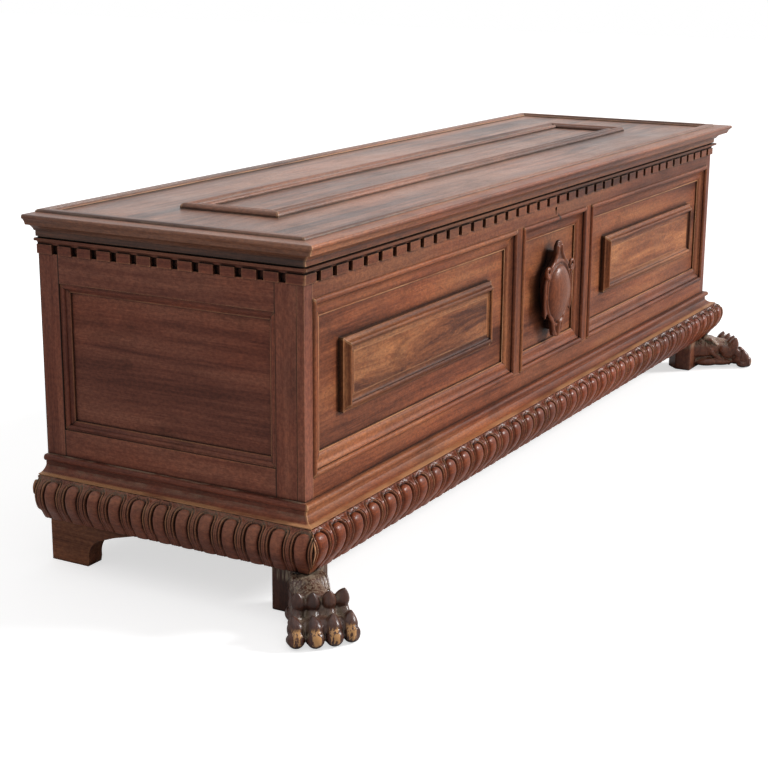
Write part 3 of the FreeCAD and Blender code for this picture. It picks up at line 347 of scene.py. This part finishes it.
def walnut(name, axis, tone, seed=0, frame_of=None, gloss=0.40, figure=0.35, wear=0.5, grime=0.85,
           dust=0.0, claws=False, reach=0.014, shine=0.14, clean=0.30, soot=None, seams=None, calm=1.0,
           stain=None, wax=0.0):
    """Old waxed walnut: streaks and pores along the grain, clouds, worn edges that also carry a painted
    highlight, and painted shade in corners and creases.

    clean is how deep a corner is before painted shade darkens it, and grime is how dark it gets. soot is a
    painted shade band: (axis, where it starts, where it is full, how much). stain is a dark S-shaped mark, as
    KEY_STAIN. seams is (node, axis): dark joint lines at both sides of that node. calm above 1 evens out the
    figure. wax is a thin clear coat, for glints on carving. wear is how much the edges are lightened, as worn
    wood and as a painted highlight.
    """
    tree = Tree(name)
    grain, split, joint = grain_space(tree, axis, frame_of, seed)
    bend = tree.vector("SUBTRACT", tree.noise(grain, *BEND, colour=True), (0.5, 0.5, 0.5))
    bent = tree.vector("ADD", grain, tree.vector("MULTIPLY", bend, (0, 0.09 * figure, 0.09 * figure)))
    broad = tree.noise(bent, *BROAD)
    streak = tree.noise(bent, *STREAK)
    fine = tree.noise(bent, *FINE)
    pores = tree.noise(grain, *PORES)
    cloud = tree.noise(grain, *CLOUD)
    smudge = tree.noise(grain, *SMUDGE)
    mixed = tree.math("ADD", tree.math("MULTIPLY", broad, 0.50), tree.math("MULTIPLY", streak, 0.34))
    mixed = tree.math("ADD", mixed, tree.math("MULTIPLY", fine, 0.16))
    dark, middle, light = tone
    colour = tree.ramp(mixed, ((FIGURE_MIDDLE - FIGURE_BELOW * calm, dark), (FIGURE_MIDDLE, middle),
                               (FIGURE_MIDDLE + FIGURE_ABOVE * calm, light)))
    colour = tree.mix(tree.step(cloud, 0.42, 0.66, 0.0, 0.55), colour,
                      tree.mix(1.0, colour, RED_CLOUD, "MULTIPLY"))
    colour = tree.mix(tree.step(cloud, 0.30, 0.50, 0.5, 0.0), colour,
                      tree.mix(1.0, colour, GREY_CLOUD, "MULTIPLY"))
    colour = tree.mix(tree.step(smudge, 0.56, 0.70, 0.0, 0.35), colour, INK)
    colour = tree.mix(tree.step(pores, 0.60, 0.72, 0.0, 0.55), colour, dark)
    mottle = tree.noise(grain, *MOTTLE)
    colour = tree.mix(tree.step(mottle, 0.38, 0.54, 0.45, 0.0), colour,
                      tree.mix(1.0, colour, DARK_MOTTLE, "MULTIPLY"))
    colour = tree.mix(tree.step(mottle, 0.50, 0.66, 0.0, 0.6), colour,
                      tree.mix(1.0, colour, LIGHT_MOTTLE, "MULTIPLY"))
    # Convex edges are lightened towards WORN, partly as worn wood and partly as a painted highlight.
    edge = tree.hollow(0.0035, inside=True)
    rubbed = tree.math("MULTIPLY", tree.step(edge, 0.32, 0.70), tree.step(smudge, 0.36, 0.60, 0.3, 1.0))
    colour = tree.mix(tree.math("MULTIPLY", rubbed, wear), colour, WORN)
    # Painted shade: corners and creases found by ambient occlusion are darkened towards GRIME.
    corner = tree.hollow(reach)
    dirty = tree.math("MULTIPLY", tree.step(corner, clean, clean + 0.45), grime)
    colour = tree.mix(dirty, colour, GRIME)
    crease = tree.hollow(reach * 0.3)
    colour = tree.mix(tree.math("MULTIPLY", tree.step(crease, 0.12, 0.42), 0.8 * grime), colour, GRIME)
    roughness = tree.math("ADD", gloss - 0.10, tree.math("MULTIPLY", smudge, 0.24))
    # Painted shade: a band along one axis is darkened towards SOOT, as under the lid's overhang.
    if soot:
        smoked = tree.step(split.outputs["xyz".index(soot[0])], soot[1], soot[2], 0.0, soot[3])
        smoked = tree.math("MULTIPLY", smoked, tree.step(smudge, 0.25, 0.55, 0.55, 1.0))
        colour = tree.mix(smoked, colour, SOOT)
    if stain:
        colour = tree.mix(curl_mark(tree, split, stain), colour, GRIME)
    if seams:
        colour = tree.mix(side_seams(tree, split, smudge, *seams), colour, GRIME)
    if frame_of:
        colour = tree.mix(tree.math("MULTIPLY", joint, 0.75), colour, GRIME)
    if dust:
        facing = tree.node("SeparateXYZ")
        tree.feed(facing.inputs[0], tree.node("NewGeometry").outputs["Normal"])
        settled = tree.math("MULTIPLY", tree.step(corner, 0.12, 0.45),
                            tree.step(facing.outputs[2], -0.2, 0.7))
        settled = tree.math("MULTIPLY", settled, tree.step(tree.noise(grain, *DUST_PATCHES), 0.38, 0.60))
        settled = tree.math("MULTIPLY", settled, dust)
        colour = tree.mix(settled, colour, DUST)
        roughness = tree.math("ADD", roughness, tree.math("MULTIPLY", settled, 0.4))
    if claws:
        hair, tip = hair_and_claws(tree, grain, split)
        colour = tree.mix(hair, colour, DUST)
        colour = tree.mix(tip, colour, CLAW)
    height = tree.math("ADD", tree.math("MULTIPLY", streak, 0.35), tree.math("MULTIPLY", fine, 0.20))
    height = tree.math("SUBTRACT", height, tree.math("MULTIPLY", tree.step(pores, 0.58, 0.72), 0.12))
    height = tree.math("ADD", height, tree.math("MULTIPLY", tree.noise(grain, *WAVES), 1.1))
    bump = tree.bump(height, BUMP_STRENGTH, BUMP_DEPTH)
    return dress(tree, colour, roughness, bump, specular=shine, coat=wax)


def dress(tree, colour, roughness, bump, specular=0.5, metallic=0.0, coat=0.0):
    """The finished material with its shader."""
    shader = tree.node("BsdfPrincipled")
    shader.inputs["Coat Weight"].default_value = coat
    shader.inputs["Coat Roughness"].default_value = COAT_ROUGHNESS
    shader.inputs["Specular IOR Level"].default_value = specular
    shader.inputs["Metallic"].default_value = metallic
    tree.feed(shader.inputs["Base Color"], colour)
    tree.feed(shader.inputs["Roughness"], roughness)
    tree.feed(shader.inputs["Normal"], bump.outputs[0])
    tree.feed(tree.node("OutputMaterial").inputs["Surface"], shader.outputs[0])
    return tree.material


def forged_iron():
    """Dark forged iron with brown rust in patches and a hammered face."""
    tree = Tree("forged_iron")
    place = tree.node("TexCoord").outputs["Object"]
    patch = tree.noise(place, (90, 90, 90), 5, 0.65)
    colour = tree.ramp(patch, ((0.35, (0.022, 0.020, 0.019)), (0.55, (0.052, 0.042, 0.036)),
                               (0.70, (0.120, 0.058, 0.030))))
    colour = tree.mix(tree.step(tree.hollow(0.004, inside=True), 0.4, 0.8, 0.0, 0.4), colour, STEEL)
    bump = tree.bump(tree.noise(place, (220, 220, 220), 3), 0.5, 0.0006)
    return dress(tree, colour, tree.step(patch, 0.3, 0.7, 0.42, 0.75), bump, metallic=0.7)


def paint(material, *names):
    """Give solids a material."""
    for name in names:
        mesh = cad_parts[name].data
        mesh.materials.clear()
        mesh.materials.append(material)


def soften(width, *names):
    """A slight round on the arrises of straight boards."""
    for name in names:
        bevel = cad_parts[name].modifiers.new("arris", "BEVEL")
        bevel.width = width
        bevel.segments = 2
        bevel.limit_method = "ANGLE"
        bevel.angle_limit = math.radians(ARRIS_ANGLE)
        bevel.harden_normals = True


def paint_nodes():
    """Every solid in its wood or iron, each board with its own seed, and round arrises on the boards."""
    seed = 0

    def wood(name, axis, tone, **looks):
        nonlocal seed
        seed += 1
        paint(walnut("wood_" + name, axis, tone, seed, **looks), name)

    wood("front_board", "x", FRONT_TONE, reach=0.045, clean=0.18)
    wood("front_top_rail", "x", RAIL_TONE, reach=0.02, clean=0.2, stain=KEY_STAIN)
    wood("front_bottom_rail", "x", FRONT_TONE, reach=0.02, clean=0.2)
    for name in ("front_stile_left", "front_stile_right"):
        wood(name, "z", END_TONE)
    for name in ("front_muntin_left", "front_muntin_right"):
        wood(name, "z", FRONT_TONE, seams=(name, "x"))
    for name, stain in (("panel_moulding_left", None), ("panel_moulding_centre", KEY_STAIN),
                        ("panel_moulding_right", None)):
        wood(name, "x", FRONT_TONE, frame_of=name, wear=1.0, grime=0.95, reach=0.012, clean=0.15, stain=stain)
    for name in ("tablet_moulding_left", "tablet_moulding_right"):
        wood(name, "x", TABLET_TONE, frame_of=name, wear=1.0, grime=0.95, reach=0.034, clean=0.10)
    for name in ("tablet_left", "tablet_right"):
        wood(name, "x", TABLET_TONE, figure=1.8, reach=0.03, clean=0.12)
    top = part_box("cornice_front")[1].z
    # Painted shade under the lid's overhang, on the upper part of the cornice.
    smoke = ("z", top - 0.016, top - 0.009, 0.35)
    wood("cornice_front", "x", RAIL_TONE, grime=0.98, clean=0.2, soot=smoke)
    lid_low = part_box("lid_edge_front")[0].z
    for side in ("left", "right"):
        wood("end_board_" + side, "y", END_TONE, reach=0.03, clean=0.15)
        for name, axis in (("end_top_rail_", "y"), ("end_bottom_rail_", "y"),
                           ("end_stile_front_", "z"), ("end_stile_back_", "z")):
            wood(name + side, axis, END_TONE, seams=(name + side, "y"))
        wood("end_moulding_" + side, "y", END_TONE, frame_of="end_moulding_" + side, reach=0.008, clean=0.15)
        wood("cornice_" + side, "y", END_TONE, grime=0.98, clean=0.2, soot=smoke)
        wood("base_moulding_" + side, "y", END_TONE, dust=0.8, wear=0.7)
        wood("bracket_foot_" + side, "y", BRACKET_TONE)
        # Painted shade on the lid's edge, darker towards its lower edge under the overhang.
        wood("lid_edge_" + side, "y", TOP_TONE, gloss=0.36, shine=0.30,
             soot=("z", lid_low + 0.022, lid_low + 0.006, 0.25))
    wood("base_moulding_front", "x", FRONT_TONE, wear=0.7)
    for name in ("lid_board_front", "lid_board_back"):
        wood(name, "x", TOP_TONE, gloss=0.33, figure=0.6, shine=0.47, reach=0.03, clean=0.10, calm=0.65,
             dust=0.5)
    # Painted shade on the lid's edge, darker towards its lower edge under the overhang.
    wood("lid_edge_front", "x", FRONT_TONE, gloss=0.36, wear=1.0, shine=0.30,
         soot=("z", lid_low + 0.014, lid_low + 0.006, 0.15))
    wood("lid_border", "xy", TOP_TONE, frame_of="lid_border", gloss=0.36, wear=0.8, dust=0.8, shine=0.35,
         reach=0.02, clean=0.12)
    wood("lid_centre_moulding", "xy", TOP_TONE, frame_of="lid_centre_moulding", gloss=0.36, wear=0.8,
         dust=0.4, shine=0.35, reach=0.012, clean=0.12)
    for name in ("back_board_lower", "back_board_upper", "bottom_board"):
        wood(name, "x", PLAIN_TONE, gloss=0.62)
    for name in ("bottom_battens", "lid_battens"):
        wood(name, "y", PLAIN_TONE, gloss=0.62)
    paint(forged_iron(), "hinge_case_leaves", "hinge_lid_leaves", "hinge_pins", "lock_plate", "lock_bolt",
          "lid_staple", "case_nails", "lid_nails")
    soften(ARRIS, "front_board", "front_top_rail", "front_bottom_rail", "front_stile_left",
           "front_stile_right", "front_muntin_left", "front_muntin_right", "tablet_left", "tablet_right",
           "lid_board_front", "lid_board_back", "back_board_lower", "back_board_upper", "bottom_board",
           "bottom_battens", "lid_battens", "cornice_front", "cornice_left", "cornice_right",
           "end_board_left", "end_board_right", "end_top_rail_left", "end_top_rail_right",
           "end_bottom_rail_left", "end_bottom_rail_right", "end_stile_front_left", "end_stile_front_right",
           "end_stile_back_left", "end_stile_back_right", "bracket_foot_left", "bracket_foot_right")


def add_piece(name, mesh, material, slot, *nodes):
    """A piece that rides on the chest in place of some of its solids."""
    piece = bpy.data.objects.new(name, mesh)
    bpy.context.scene.collection.objects.link(piece)
    mesh.materials.clear()
    mesh.materials.append(material)
    for face in mesh.polygons:
        face.use_smooth = True
    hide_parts(*nodes)
    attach(piece, "chest")
    return piece


def torus_profile():
    """The base torus from its top to its foot, as (out, up) from its wall and foot, and its height."""
    points = {(round(WALL - vertex.co.y, 5), round(vertex.co.z - SOLE_TOP, 5))
              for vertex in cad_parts["gadroon_front"].data.vertices}
    top = max(up for _, up in points)
    outer = sorted((p for p in points if p[0] > 0.001), key=lambda p: -p[1])
    fine = [outer[0]]
    for low in outer[1:]:
        high = fine[-1]
        length = math.dist(low, high)
        if length < PROFILE_MERGE:
            continue
        count = max(1, round(length / PROFILE_STEP))
        for index in range(1, count + 1):
            share = index / count
            fine.append((high[0] + (low[0] - high[0]) * share, high[1] + (low[1] - high[1]) * share))
    waist = max(outer)[1]
    return [(out + UNDERCUT_FILL * max(0.0, 1 - up / waist), up) for out, up in fine], top


def lobe_depth(across, down, half):
    """Depth of the carving at a place of one lobe: across from its centre line, down from the top edge."""
    above = max(0.0, half * (1 - LOBE_RISE) - down)
    share = math.hypot(across, above) / half
    taper = 1 - LOBE_TAPER * max(0.0, min(1.0, (down - half * 1.3) / (half * 1.6)))
    rim, wall = LOBE_LINES[5][0], LOBE_LINES[6][0]
    if share < rim * taper:
        share = share / taper
    elif share < wall:
        share = rim + (share - rim * taper) * (wall - rim) / (wall - rim * taper)
    for (place, depth), (beyond, deeper) in zip(LOBE_LINES, LOBE_LINES[1:]):
        if share <= beyond:
            part = (share - place) / (beyond - place)
            part = part * part * (3 - 2 * part)
            found = depth + (deeper - depth) * part
            break
    if share > 1:
        spur = max(0.0, 1 - (half - abs(across)) / SPUR_HALF_WIDTH)
        found -= (found - SPUR_DEPTH) * spur
    return found / 1000


def gadroons(name, node, place, start, finish, mitres, lobes, lean, material):
    """A strip of carved lobes on the torus of a solid. place(run, out, up) gives a point.

    lean(run) is how far the foot of a lobe stands from under its head.
    """
    profile, top = torus_profile()
    pitch = (finish - start) / lobes
    half = pitch / 2
    widest = max(out for out, _ in profile)
    chance = random.Random(name)
    wobble = [(chance.uniform(-LOBE_SHIFT, LOBE_SHIFT), chance.uniform(1 - LOBE_DEEPEST, 1 + LOBE_DEEPEST))
              for _ in range(int(lobes) + 2)]
    lengths = [0.0]
    for first, second in zip(profile, profile[1:]):
        lengths.append(lengths[-1] + math.dist(first, second))
    normals = []
    for index in range(len(profile)):
        first, second = profile[max(0, index - 1)], profile[min(len(profile) - 1, index + 1)]
        along = Vector((second[0] - first[0], second[1] - first[1])).normalized()
        normals.append((-along.y, along.x))
    count = math.ceil(lobes * LOBE_COLUMNS)
    mesh = bmesh.new()
    rows = []
    for column in range(count + 1):
        run = min(finish, start + pitch * column / LOBE_COLUMNS)
        line = []
        for (out, up), down, normal in zip(profile, lengths, normals):
            share = down / lengths[-1]
            near = run + lean(run) * share
            near = max(near, start + widest - out if mitres == "both" else start)
            near = min(near, finish - widest + out)
            leaned = near - lean(run) * share
            if mitres == "finish":
                index = max(0, int((finish - leaned) / pitch))
                base = finish - (index + 0.5) * pitch
            else:
                index = min(max(0, int((leaned - start) / pitch)), int(lobes) - 1)
                base = start + (index + 0.5) * pitch
            shift, deep = wobble[min(index, len(wobble) - 1)]
            bulge = max(0.0, 1 - ((leaned - base) / half) ** 2)
            depth = lobe_depth(abs(leaned - base - shift * half * bulge), down, half) * deep
            low = max(0.0, min(1.0, (share - FOOT_START) / (FOOT_FULL - FOOT_START)))
            fade = min(1.0, HEAD_SHARE + down / HEAD_HEIGHT) * (1 - FOOT_FADE * low)
            out -= normal[0] * depth * fade
            up -= normal[1] * depth * fade
            near = max(near, start + widest - out) if mitres == "both" else near
            line.append(mesh.verts.new(place(min(near, finish - widest + out), out, up)))
        wall_run = min(finish - widest, max(run, start + widest) if mitres == "both" else run)
        line.append(mesh.verts.new(place(wall_run, 0.0, 0.0)))
        line.append(mesh.verts.new(place(wall_run, 0.0, top)))
        rows.append(line)
    for first, second in zip(rows, rows[1:]):
        for index in range(len(first)):
            after = (index + 1) % len(first)
            mesh.faces.new((first[index], second[index], second[after], first[after]))
    mesh.faces.new(rows[0])
    mesh.faces.new(rows[-1])
    bmesh.ops.remove_doubles(mesh, verts=mesh.verts, dist=0.00001)
    bmesh.ops.recalc_face_normals(mesh, faces=mesh.faces)
    data = bpy.data.meshes.new(name)
    mesh.to_mesh(data)
    mesh.free()
    add_piece(name, data, material, "walnut_carved", node)


def add_gadroons():
    """The carved strips of the front and both ends."""
    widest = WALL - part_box("gadroon_front")[0].y
    front = walnut("carved_front", "x", CARVED_TONE, 41, gloss=0.34, wear=0.75, grime=0.95,
                   shine=0.12, clean=0.28, calm=1.6, wax=0.16)
    ends = walnut("carved_end", "y", CARVED_END_TONE, 42, gloss=0.38, wear=0.6, dust=0.45,
                  clean=0.28, calm=1.6, wax=0.08)
    reach = END + widest
    gadroons("gadroons_front", "gadroon_front", lambda run, out, up: Vector((run, WALL - out, SOLE_TOP + up)),
             -reach, reach, "both", FRONT_LOBES,
             lambda run: -FRONT_LEAN * max(-1.0, min(1.0, run / FRONT_LEAN_TURN)), front)
    for side, way in (("left", -1), ("right", 1)):
        gadroons("gadroons_" + side, "gadroon_" + side,
                 lambda run, out, up: Vector((way * (END + out), -run, SOLE_TOP + up)),
                 -REAR, widest - WALL, "finish", END_LOBES, lambda run: END_LEAN, ends)


def ball_template(level):
    """Corners and faces of a ball of radius 1."""
    mesh = bmesh.new()
    bmesh.ops.create_icosphere(mesh, subdivisions=level, radius=1)
    mesh.verts.index_update()
    corners = [vertex.co.copy() for vertex in mesh.verts]
    faces = [tuple(vertex.index for vertex in face.verts) for face in mesh.faces]
    mesh.free()
    return corners, faces


class Carving:
    """Closed lumps in one mesh, merged by a voxel remesh into one carved form."""

    FINE = ball_template(4)
    COARSE = ball_template(2)

    def __init__(self):
        self.corners = []
        self.faces = []

    def lump(self, centre, radii, turn=Matrix.Identity(3), peak=0.0, template=FINE):
        """A rounded lump. With a peak its upper end narrows like a flame."""
        start = len(self.corners)
        for corner in template[0]:
            narrow = 1 - peak * max(0.0, corner.z) ** 1.6
            spot = Vector((corner.x * radii[0] * narrow, corner.y * radii[1] * narrow, corner.z * radii[2]))
            self.corners.append(centre + turn @ spot)
        self.faces += [tuple(start + index for index in face) for face in template[1]]

    def limb(self, points, radii, flat=1.0):
        """Lumps so close along a line that they read as one tapering limb."""
        for (first, thick), (second, thin) in zip(zip(points, radii), zip(points[1:], radii[1:])):
            count = max(1, math.ceil((second - first).length / (min(thick, thin) * 0.4)))
            for index in range(count + 1):
                share = index / count
                radius = thick + (thin - thick) * share
                self.lump(first.lerp(second, share), (radius, radius, radius * flat), template=self.COARSE)

    def slab(self, corners, offset):
        """A flat outline pushed through by offset."""
        start, count = len(self.corners), len(corners)
        self.corners += [Vector(corner) for corner in corners]
        self.corners += [Vector(corner) + offset for corner in corners]
        self.faces.append(tuple(range(start, start + count)))
        self.faces.append(tuple(range(start + count, start + 2 * count)))
        for index in range(count):
            after = (index + 1) % count
            self.faces.append((start + index, start + after, start + count + after, start + count + index))

    def finish(self, name, voxel, smooth, shape):
        """One mesh of all the lumps, with every corner passed through shape."""
        rough = bpy.data.meshes.new(name + "_rough")
        rough.from_pydata(self.corners, [], self.faces)
        holder = bpy.data.objects.new(name + "_rough", rough)
        bpy.context.scene.collection.objects.link(holder)
        remesh = holder.modifiers.new("merge", "REMESH")
        remesh.mode = "VOXEL"
        remesh.voxel_size = voxel
        soft = holder.modifiers.new("soft", "SMOOTH")
        soft.factor = 0.5
        soft.iterations = smooth
        bpy.context.view_layer.update()
        data = bpy.data.meshes.new_from_object(holder.evaluated_get(bpy.context.evaluated_depsgraph_get()))
        data.name = name
        bpy.data.objects.remove(holder)
        for vertex in data.vertices:
            vertex.co = shape(vertex.co)
        return data


def keep_between(low, high):
    """A function that keeps a point inside a box."""
    return lambda point: Vector(min(max(value, least), most) for value, least, most in zip(point, low, high))


def add_paws():
    """Four toed paws on leg blocks: knuckles like flames over the claw sheaths, tufts of hair above."""
    for side, way, tone in (("left", -1, PAW_TONE), ("right", 1, FAR_PAW_TONE)):
        material = walnut("carved_paw_" + side, "z", tone, 43, gloss=0.30, wear=0.3, dust=0.8, claws=True,
                          shine=0.12, clean=0.22, calm=1.6, wax=0.35)
        box_low, box_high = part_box("paw_foot_" + side)
        aside = Vector((way * DIAGONAL, DIAGONAL, 0))
        ahead = Vector((way * DIAGONAL, -DIAGONAL, 0))
        turn = Matrix((aside, ahead, Vector((0, 0, 1)))).transposed()
        corner = Vector((way * END, WALL, 0))

        def spot(forward, sideways, up):
            return corner + (ahead * forward + aside * sideways) / 1000 + Vector((0, 0, up / 1000))

        def tilt(angle, swing):
            return (turn @ Matrix.Rotation(math.radians(-angle), 3, "X")
                    @ Matrix.Rotation(math.radians(swing), 3, "Y"))

        carving = Carving()
        carving.slab([corner + Vector((-way * x / 1000, y / 1000, 0.0006)) for x, y in LEG_OUTLINE],
                     Vector((0, 0, SOLE_TOP - 0.0012)))
        carving.limb([spot(-14, 0, 42), spot(20, 0, 42), spot(52, -2, 37)], [0.025, 0.027, 0.026])
        for place, radii in FOOT_LUMPS:
            carving.lump(spot(*place), radii, turn)
        for sideways, near, reach in TOES:
            swing = sideways * 0.25
            carving.lump(spot(69 * reach, near, 53.5), (0.0110, 0.0120, 0.0180),
                         tilt(KNUCKLE_TILT, swing), 0.6)
            carving.limb([spot(46 * reach, near * 0.8, 42), spot(68 * reach, near, 44),
                          spot(84 * reach, sideways * 0.94, 28)], [0.010, 0.0092, 0.0080])
            carving.lump(spot(93 * reach, sideways * 0.97, 25), (0.0122, 0.0132, 0.0195),
                         tilt(CLAW_TILT, swing), 0.6)
            carving.lump(spot(102 * reach, sideways, 13.4), (0.0128, 0.0118, 0.0130), turn)
            carving.lump(spot(92 * reach, sideways, 8.6), (0.0122, 0.0150, 0.0084), turn)
        for index in range(HAIR_TUFTS):
            sideways = (index - 4.9) * 5.4
            forward = 37 - abs(sideways) * 0.55
            carving.limb([spot(forward - 22, sideways * 0.85, 69), spot(forward - 8, sideways * 0.97, 66),
                          spot(forward + 8, sideways * 1.05, 60 - abs(sideways) * 0.3)],
                         [0.0030, 0.0040, 0.0018])
        for flank in (-1, 1):
            for forward, up in FLANK_TUFTS:
                wide = 20 + (56 - up) * 0.25
                carving.limb([spot(forward - 8, flank * (wide - 3), up + 8),
                              spot(forward + 2, flank * wide, up),
                              spot(forward + 18, flank * (wide + 1), up - 9)], [0.0045, 0.0056, 0.0024])
        data = carving.finish("paw_" + side, PAW_VOXEL, PAW_SMOOTHING, keep_between(box_low, box_high))
        add_piece("paw_" + side, data, material, "walnut_carved", "paw_foot_" + side)


def smooth_ring(points, steps=8):
    """A closed curve through the points, as (across, up)."""
    ring = []
    for index in range(len(points)):
        a, b, c, d = (Vector(points[(index + offset) % len(points)]) for offset in (-1, 0, 1, 2))
        for step in range(steps):
            t = step / steps
            ring.append(((2 * b) + (c - a) * t + (2 * a - 5 * b + 4 * c - d) * t * t
                         + (3 * b - a - 3 * c + d) * t * t * t) / 2)
    return ring


def add_shield():
    """The blank shield: a strapwork plate with curled ears, a raised rim and a pointed oval boss."""
    low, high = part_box("cartouche")
    middle = (low + high) / 2
    half_width, half_height = (high.x - low.x) / 2, (high.z - low.z) / 2
    field, face = high.y, low.y
    plate = face + (high.y - low.y) * SHIELD_PLATE_SHARE
    carving = Carving()

    def at(across, up, depth):
        return Vector((middle.x + across * half_width, depth, middle.z + up * half_height))

    def layer(points, back, front):
        ring = smooth_ring(list(points) + [(-x, z) for x, z in reversed(points)])
        carving.slab([at(x, z, back) for x, z in ring], Vector((0, front - back, 0)))

    layer(SHIELD_FIELD, field, plate + 0.004)
    layer(SHIELD_STRAPS, plate + 0.007, plate)
    rim = [at(0.76 * math.sin(angle) * (1 - 0.22 * max(0, -math.cos(angle)) ** 2),
              0.66 * math.cos(angle) - 0.10, plate)
           for angle in [step * math.tau / RIM_STEPS for step in range(RIM_STEPS + 1)]]
    carving.limb(rim, [0.0030] * len(rim))
    carving.lump(at(-0.02, -0.11, plate), (half_width * 0.66, plate - face, half_height * 0.59),
                 Matrix.Rotation(math.pi, 3, "Y"), 0.34)
    for way in (-1, 1):
        curl = []
        for step in range(CURL_STEPS):
            angle = math.radians(200 - step * 26) * way
            radius = 0.0105 * (1 - step / 28)
            curl.append(at(way * 0.76, 0.41, plate) + Vector((radius * math.sin(angle), -0.002,
                                                              radius * math.cos(angle))))
        carving.limb(curl, [0.0040 - 0.0001 * step for step in range(CURL_STEPS)])
        carving.limb([at(way * x, z, plate + 0.001) for x, z in SHIELD_SIDE],
                     [0.0030, 0.0036, 0.0036, 0.0034, 0.0024])
        carving.limb([at(way * x, z, plate + 0.001) for x, z in SHIELD_TAIL],
                     [0.0034, 0.0042, 0.0042, 0.0034])
        carving.limb([at(way * x, z, plate) for x, z in SHIELD_CREST], [0.0038, 0.0042, 0.0038, 0.0034])
    carving.limb([at(0, -0.70, plate - 0.001), at(0, -0.95, plate)], [0.0062, 0.0044])
    ring = [at(0.10 * math.sin(angle), 0.89 + 0.055 * math.cos(angle), plate + 0.003)
            for angle in [step * math.tau / RING_STEPS for step in range(RING_STEPS + 1)]]
    carving.limb(ring, [0.0042] * len(ring))

    # Painted shade on the side of the plate and behind it, where it stands off the panel.
    material = walnut("carved_shield", "z", FRONT_TONE, 44, gloss=0.30, grime=0.97,
                      clean=0.20, calm=2.0, wax=0.12,
                      soot=("y", plate - 0.0015, plate + 0.002, 0.97))
    data = carving.finish("shield", SHIELD_VOXEL, SHIELD_SMOOTHING, keep_between(low, high))
    add_piece("shield", data, material, "walnut_front", "cartouche")


def add_camera():
    """The photograph's camera."""
    yaw, pitch, roll = (math.radians(angle) for angle in (CAMERA_YAW, CAMERA_PITCH, CAMERA_ROLL))
    ahead = Vector((math.sin(yaw) * math.cos(pitch), math.cos(yaw) * math.cos(pitch), -math.sin(pitch)))
    level = Vector((math.cos(yaw), -math.sin(yaw), 0))
    upward = level.cross(ahead)
    across = math.cos(roll) * level + math.sin(roll) * upward
    top = math.cos(roll) * upward - math.sin(roll) * level
    data = bpy.data.cameras.new("camera")
    data.lens = CAMERA_LENS
    data.sensor_width = 36
    camera = bpy.data.objects.new("camera", data)
    bpy.context.scene.collection.objects.link(camera)
    turn = Matrix((across, top, -ahead)).transposed().to_4x4()
    camera.matrix_world = Matrix.Translation(CAMERA_PLACE) @ turn
    bpy.context.scene.camera = camera


def add_lamp(name, towards, spread, strength):
    """A far soft lamp, as a broad sun: its light falls along towards."""
    data = bpy.data.lights.new(name, "SUN")
    data.angle = math.radians(spread)
    data.energy = strength
    lamp = bpy.data.objects.new(name, data)
    bpy.context.scene.collection.objects.link(lamp)
    lamp.rotation_euler = Vector(towards).to_track_quat("-Z", "Y").to_euler()


def add_light():
    """The lamps, and a white world that looks full white and lights the chest softly."""
    for lamp in LAMPS:
        add_lamp(*lamp)
    world = bpy.data.worlds.new("studio")
    world.use_nodes = True
    bpy.context.scene.world = world
    nodes, links = world.node_tree.nodes, world.node_tree.links
    rays = nodes.new("ShaderNodeLightPath")
    shown = nodes.new("ShaderNodeMath")
    shown.operation = "ADD"
    shown.use_clamp = True
    links.new(rays.outputs["Is Camera Ray"], shown.inputs[0])
    gloss = nodes.new("ShaderNodeMath")
    gloss.operation = "ADD"
    links.new(rays.outputs["Is Glossy Ray"], gloss.inputs[0])
    links.new(rays.outputs["Is Transmission Ray"], gloss.inputs[1])
    links.new(gloss.outputs[0], shown.inputs[1])
    strength = nodes.new("ShaderNodeMapRange")
    links.new(shown.outputs[0], strength.inputs[0])
    strength.inputs["To Min"].default_value = WORLD_LIGHT
    strength.inputs["To Max"].default_value = 1.0
    background = nodes["Background"]
    background.inputs["Color"].default_value = (1, 1, 1, 1)
    links.new(strength.outputs[0], background.inputs["Strength"])


def add_floor():
    """A white floor that keeps the chest's soft shadow."""
    mesh = bpy.data.meshes.new("floor")
    corners = [(x * FLOOR_HALF, y * FLOOR_HALF, 0) for x, y in ((-1, -1), (1, -1), (1, 1), (-1, 1))]
    mesh.from_pydata(corners, [], [(0, 1, 2, 3)])
    floor = bpy.data.objects.new("floor", mesh)
    bpy.context.scene.collection.objects.link(floor)
    tree = Tree("floor")
    diffuse = tree.node("BsdfDiffuse")
    diffuse.inputs["Color"].default_value = (FLOOR_TONE, FLOOR_TONE, FLOOR_TONE, 1)
    glow = tree.node("Emission")
    rays = tree.node("LightPath")
    tree.feed(glow.inputs["Strength"], tree.math("MULTIPLY", rays.outputs["Is Camera Ray"], FLOOR_GLOW))
    both = tree.node("AddShader")
    tree.feed(both.inputs[0], diffuse.outputs[0])
    tree.feed(both.inputs[1], glow.outputs[0])
    tree.feed(tree.node("OutputMaterial").inputs["Surface"], both.outputs[0])
    mesh.materials.append(tree.material)


paint_nodes()
add_gadroons()
add_paws()
add_shield()
add_camera()
add_light()
add_floor()
bpy.context.scene.view_settings.view_transform = "Standard"
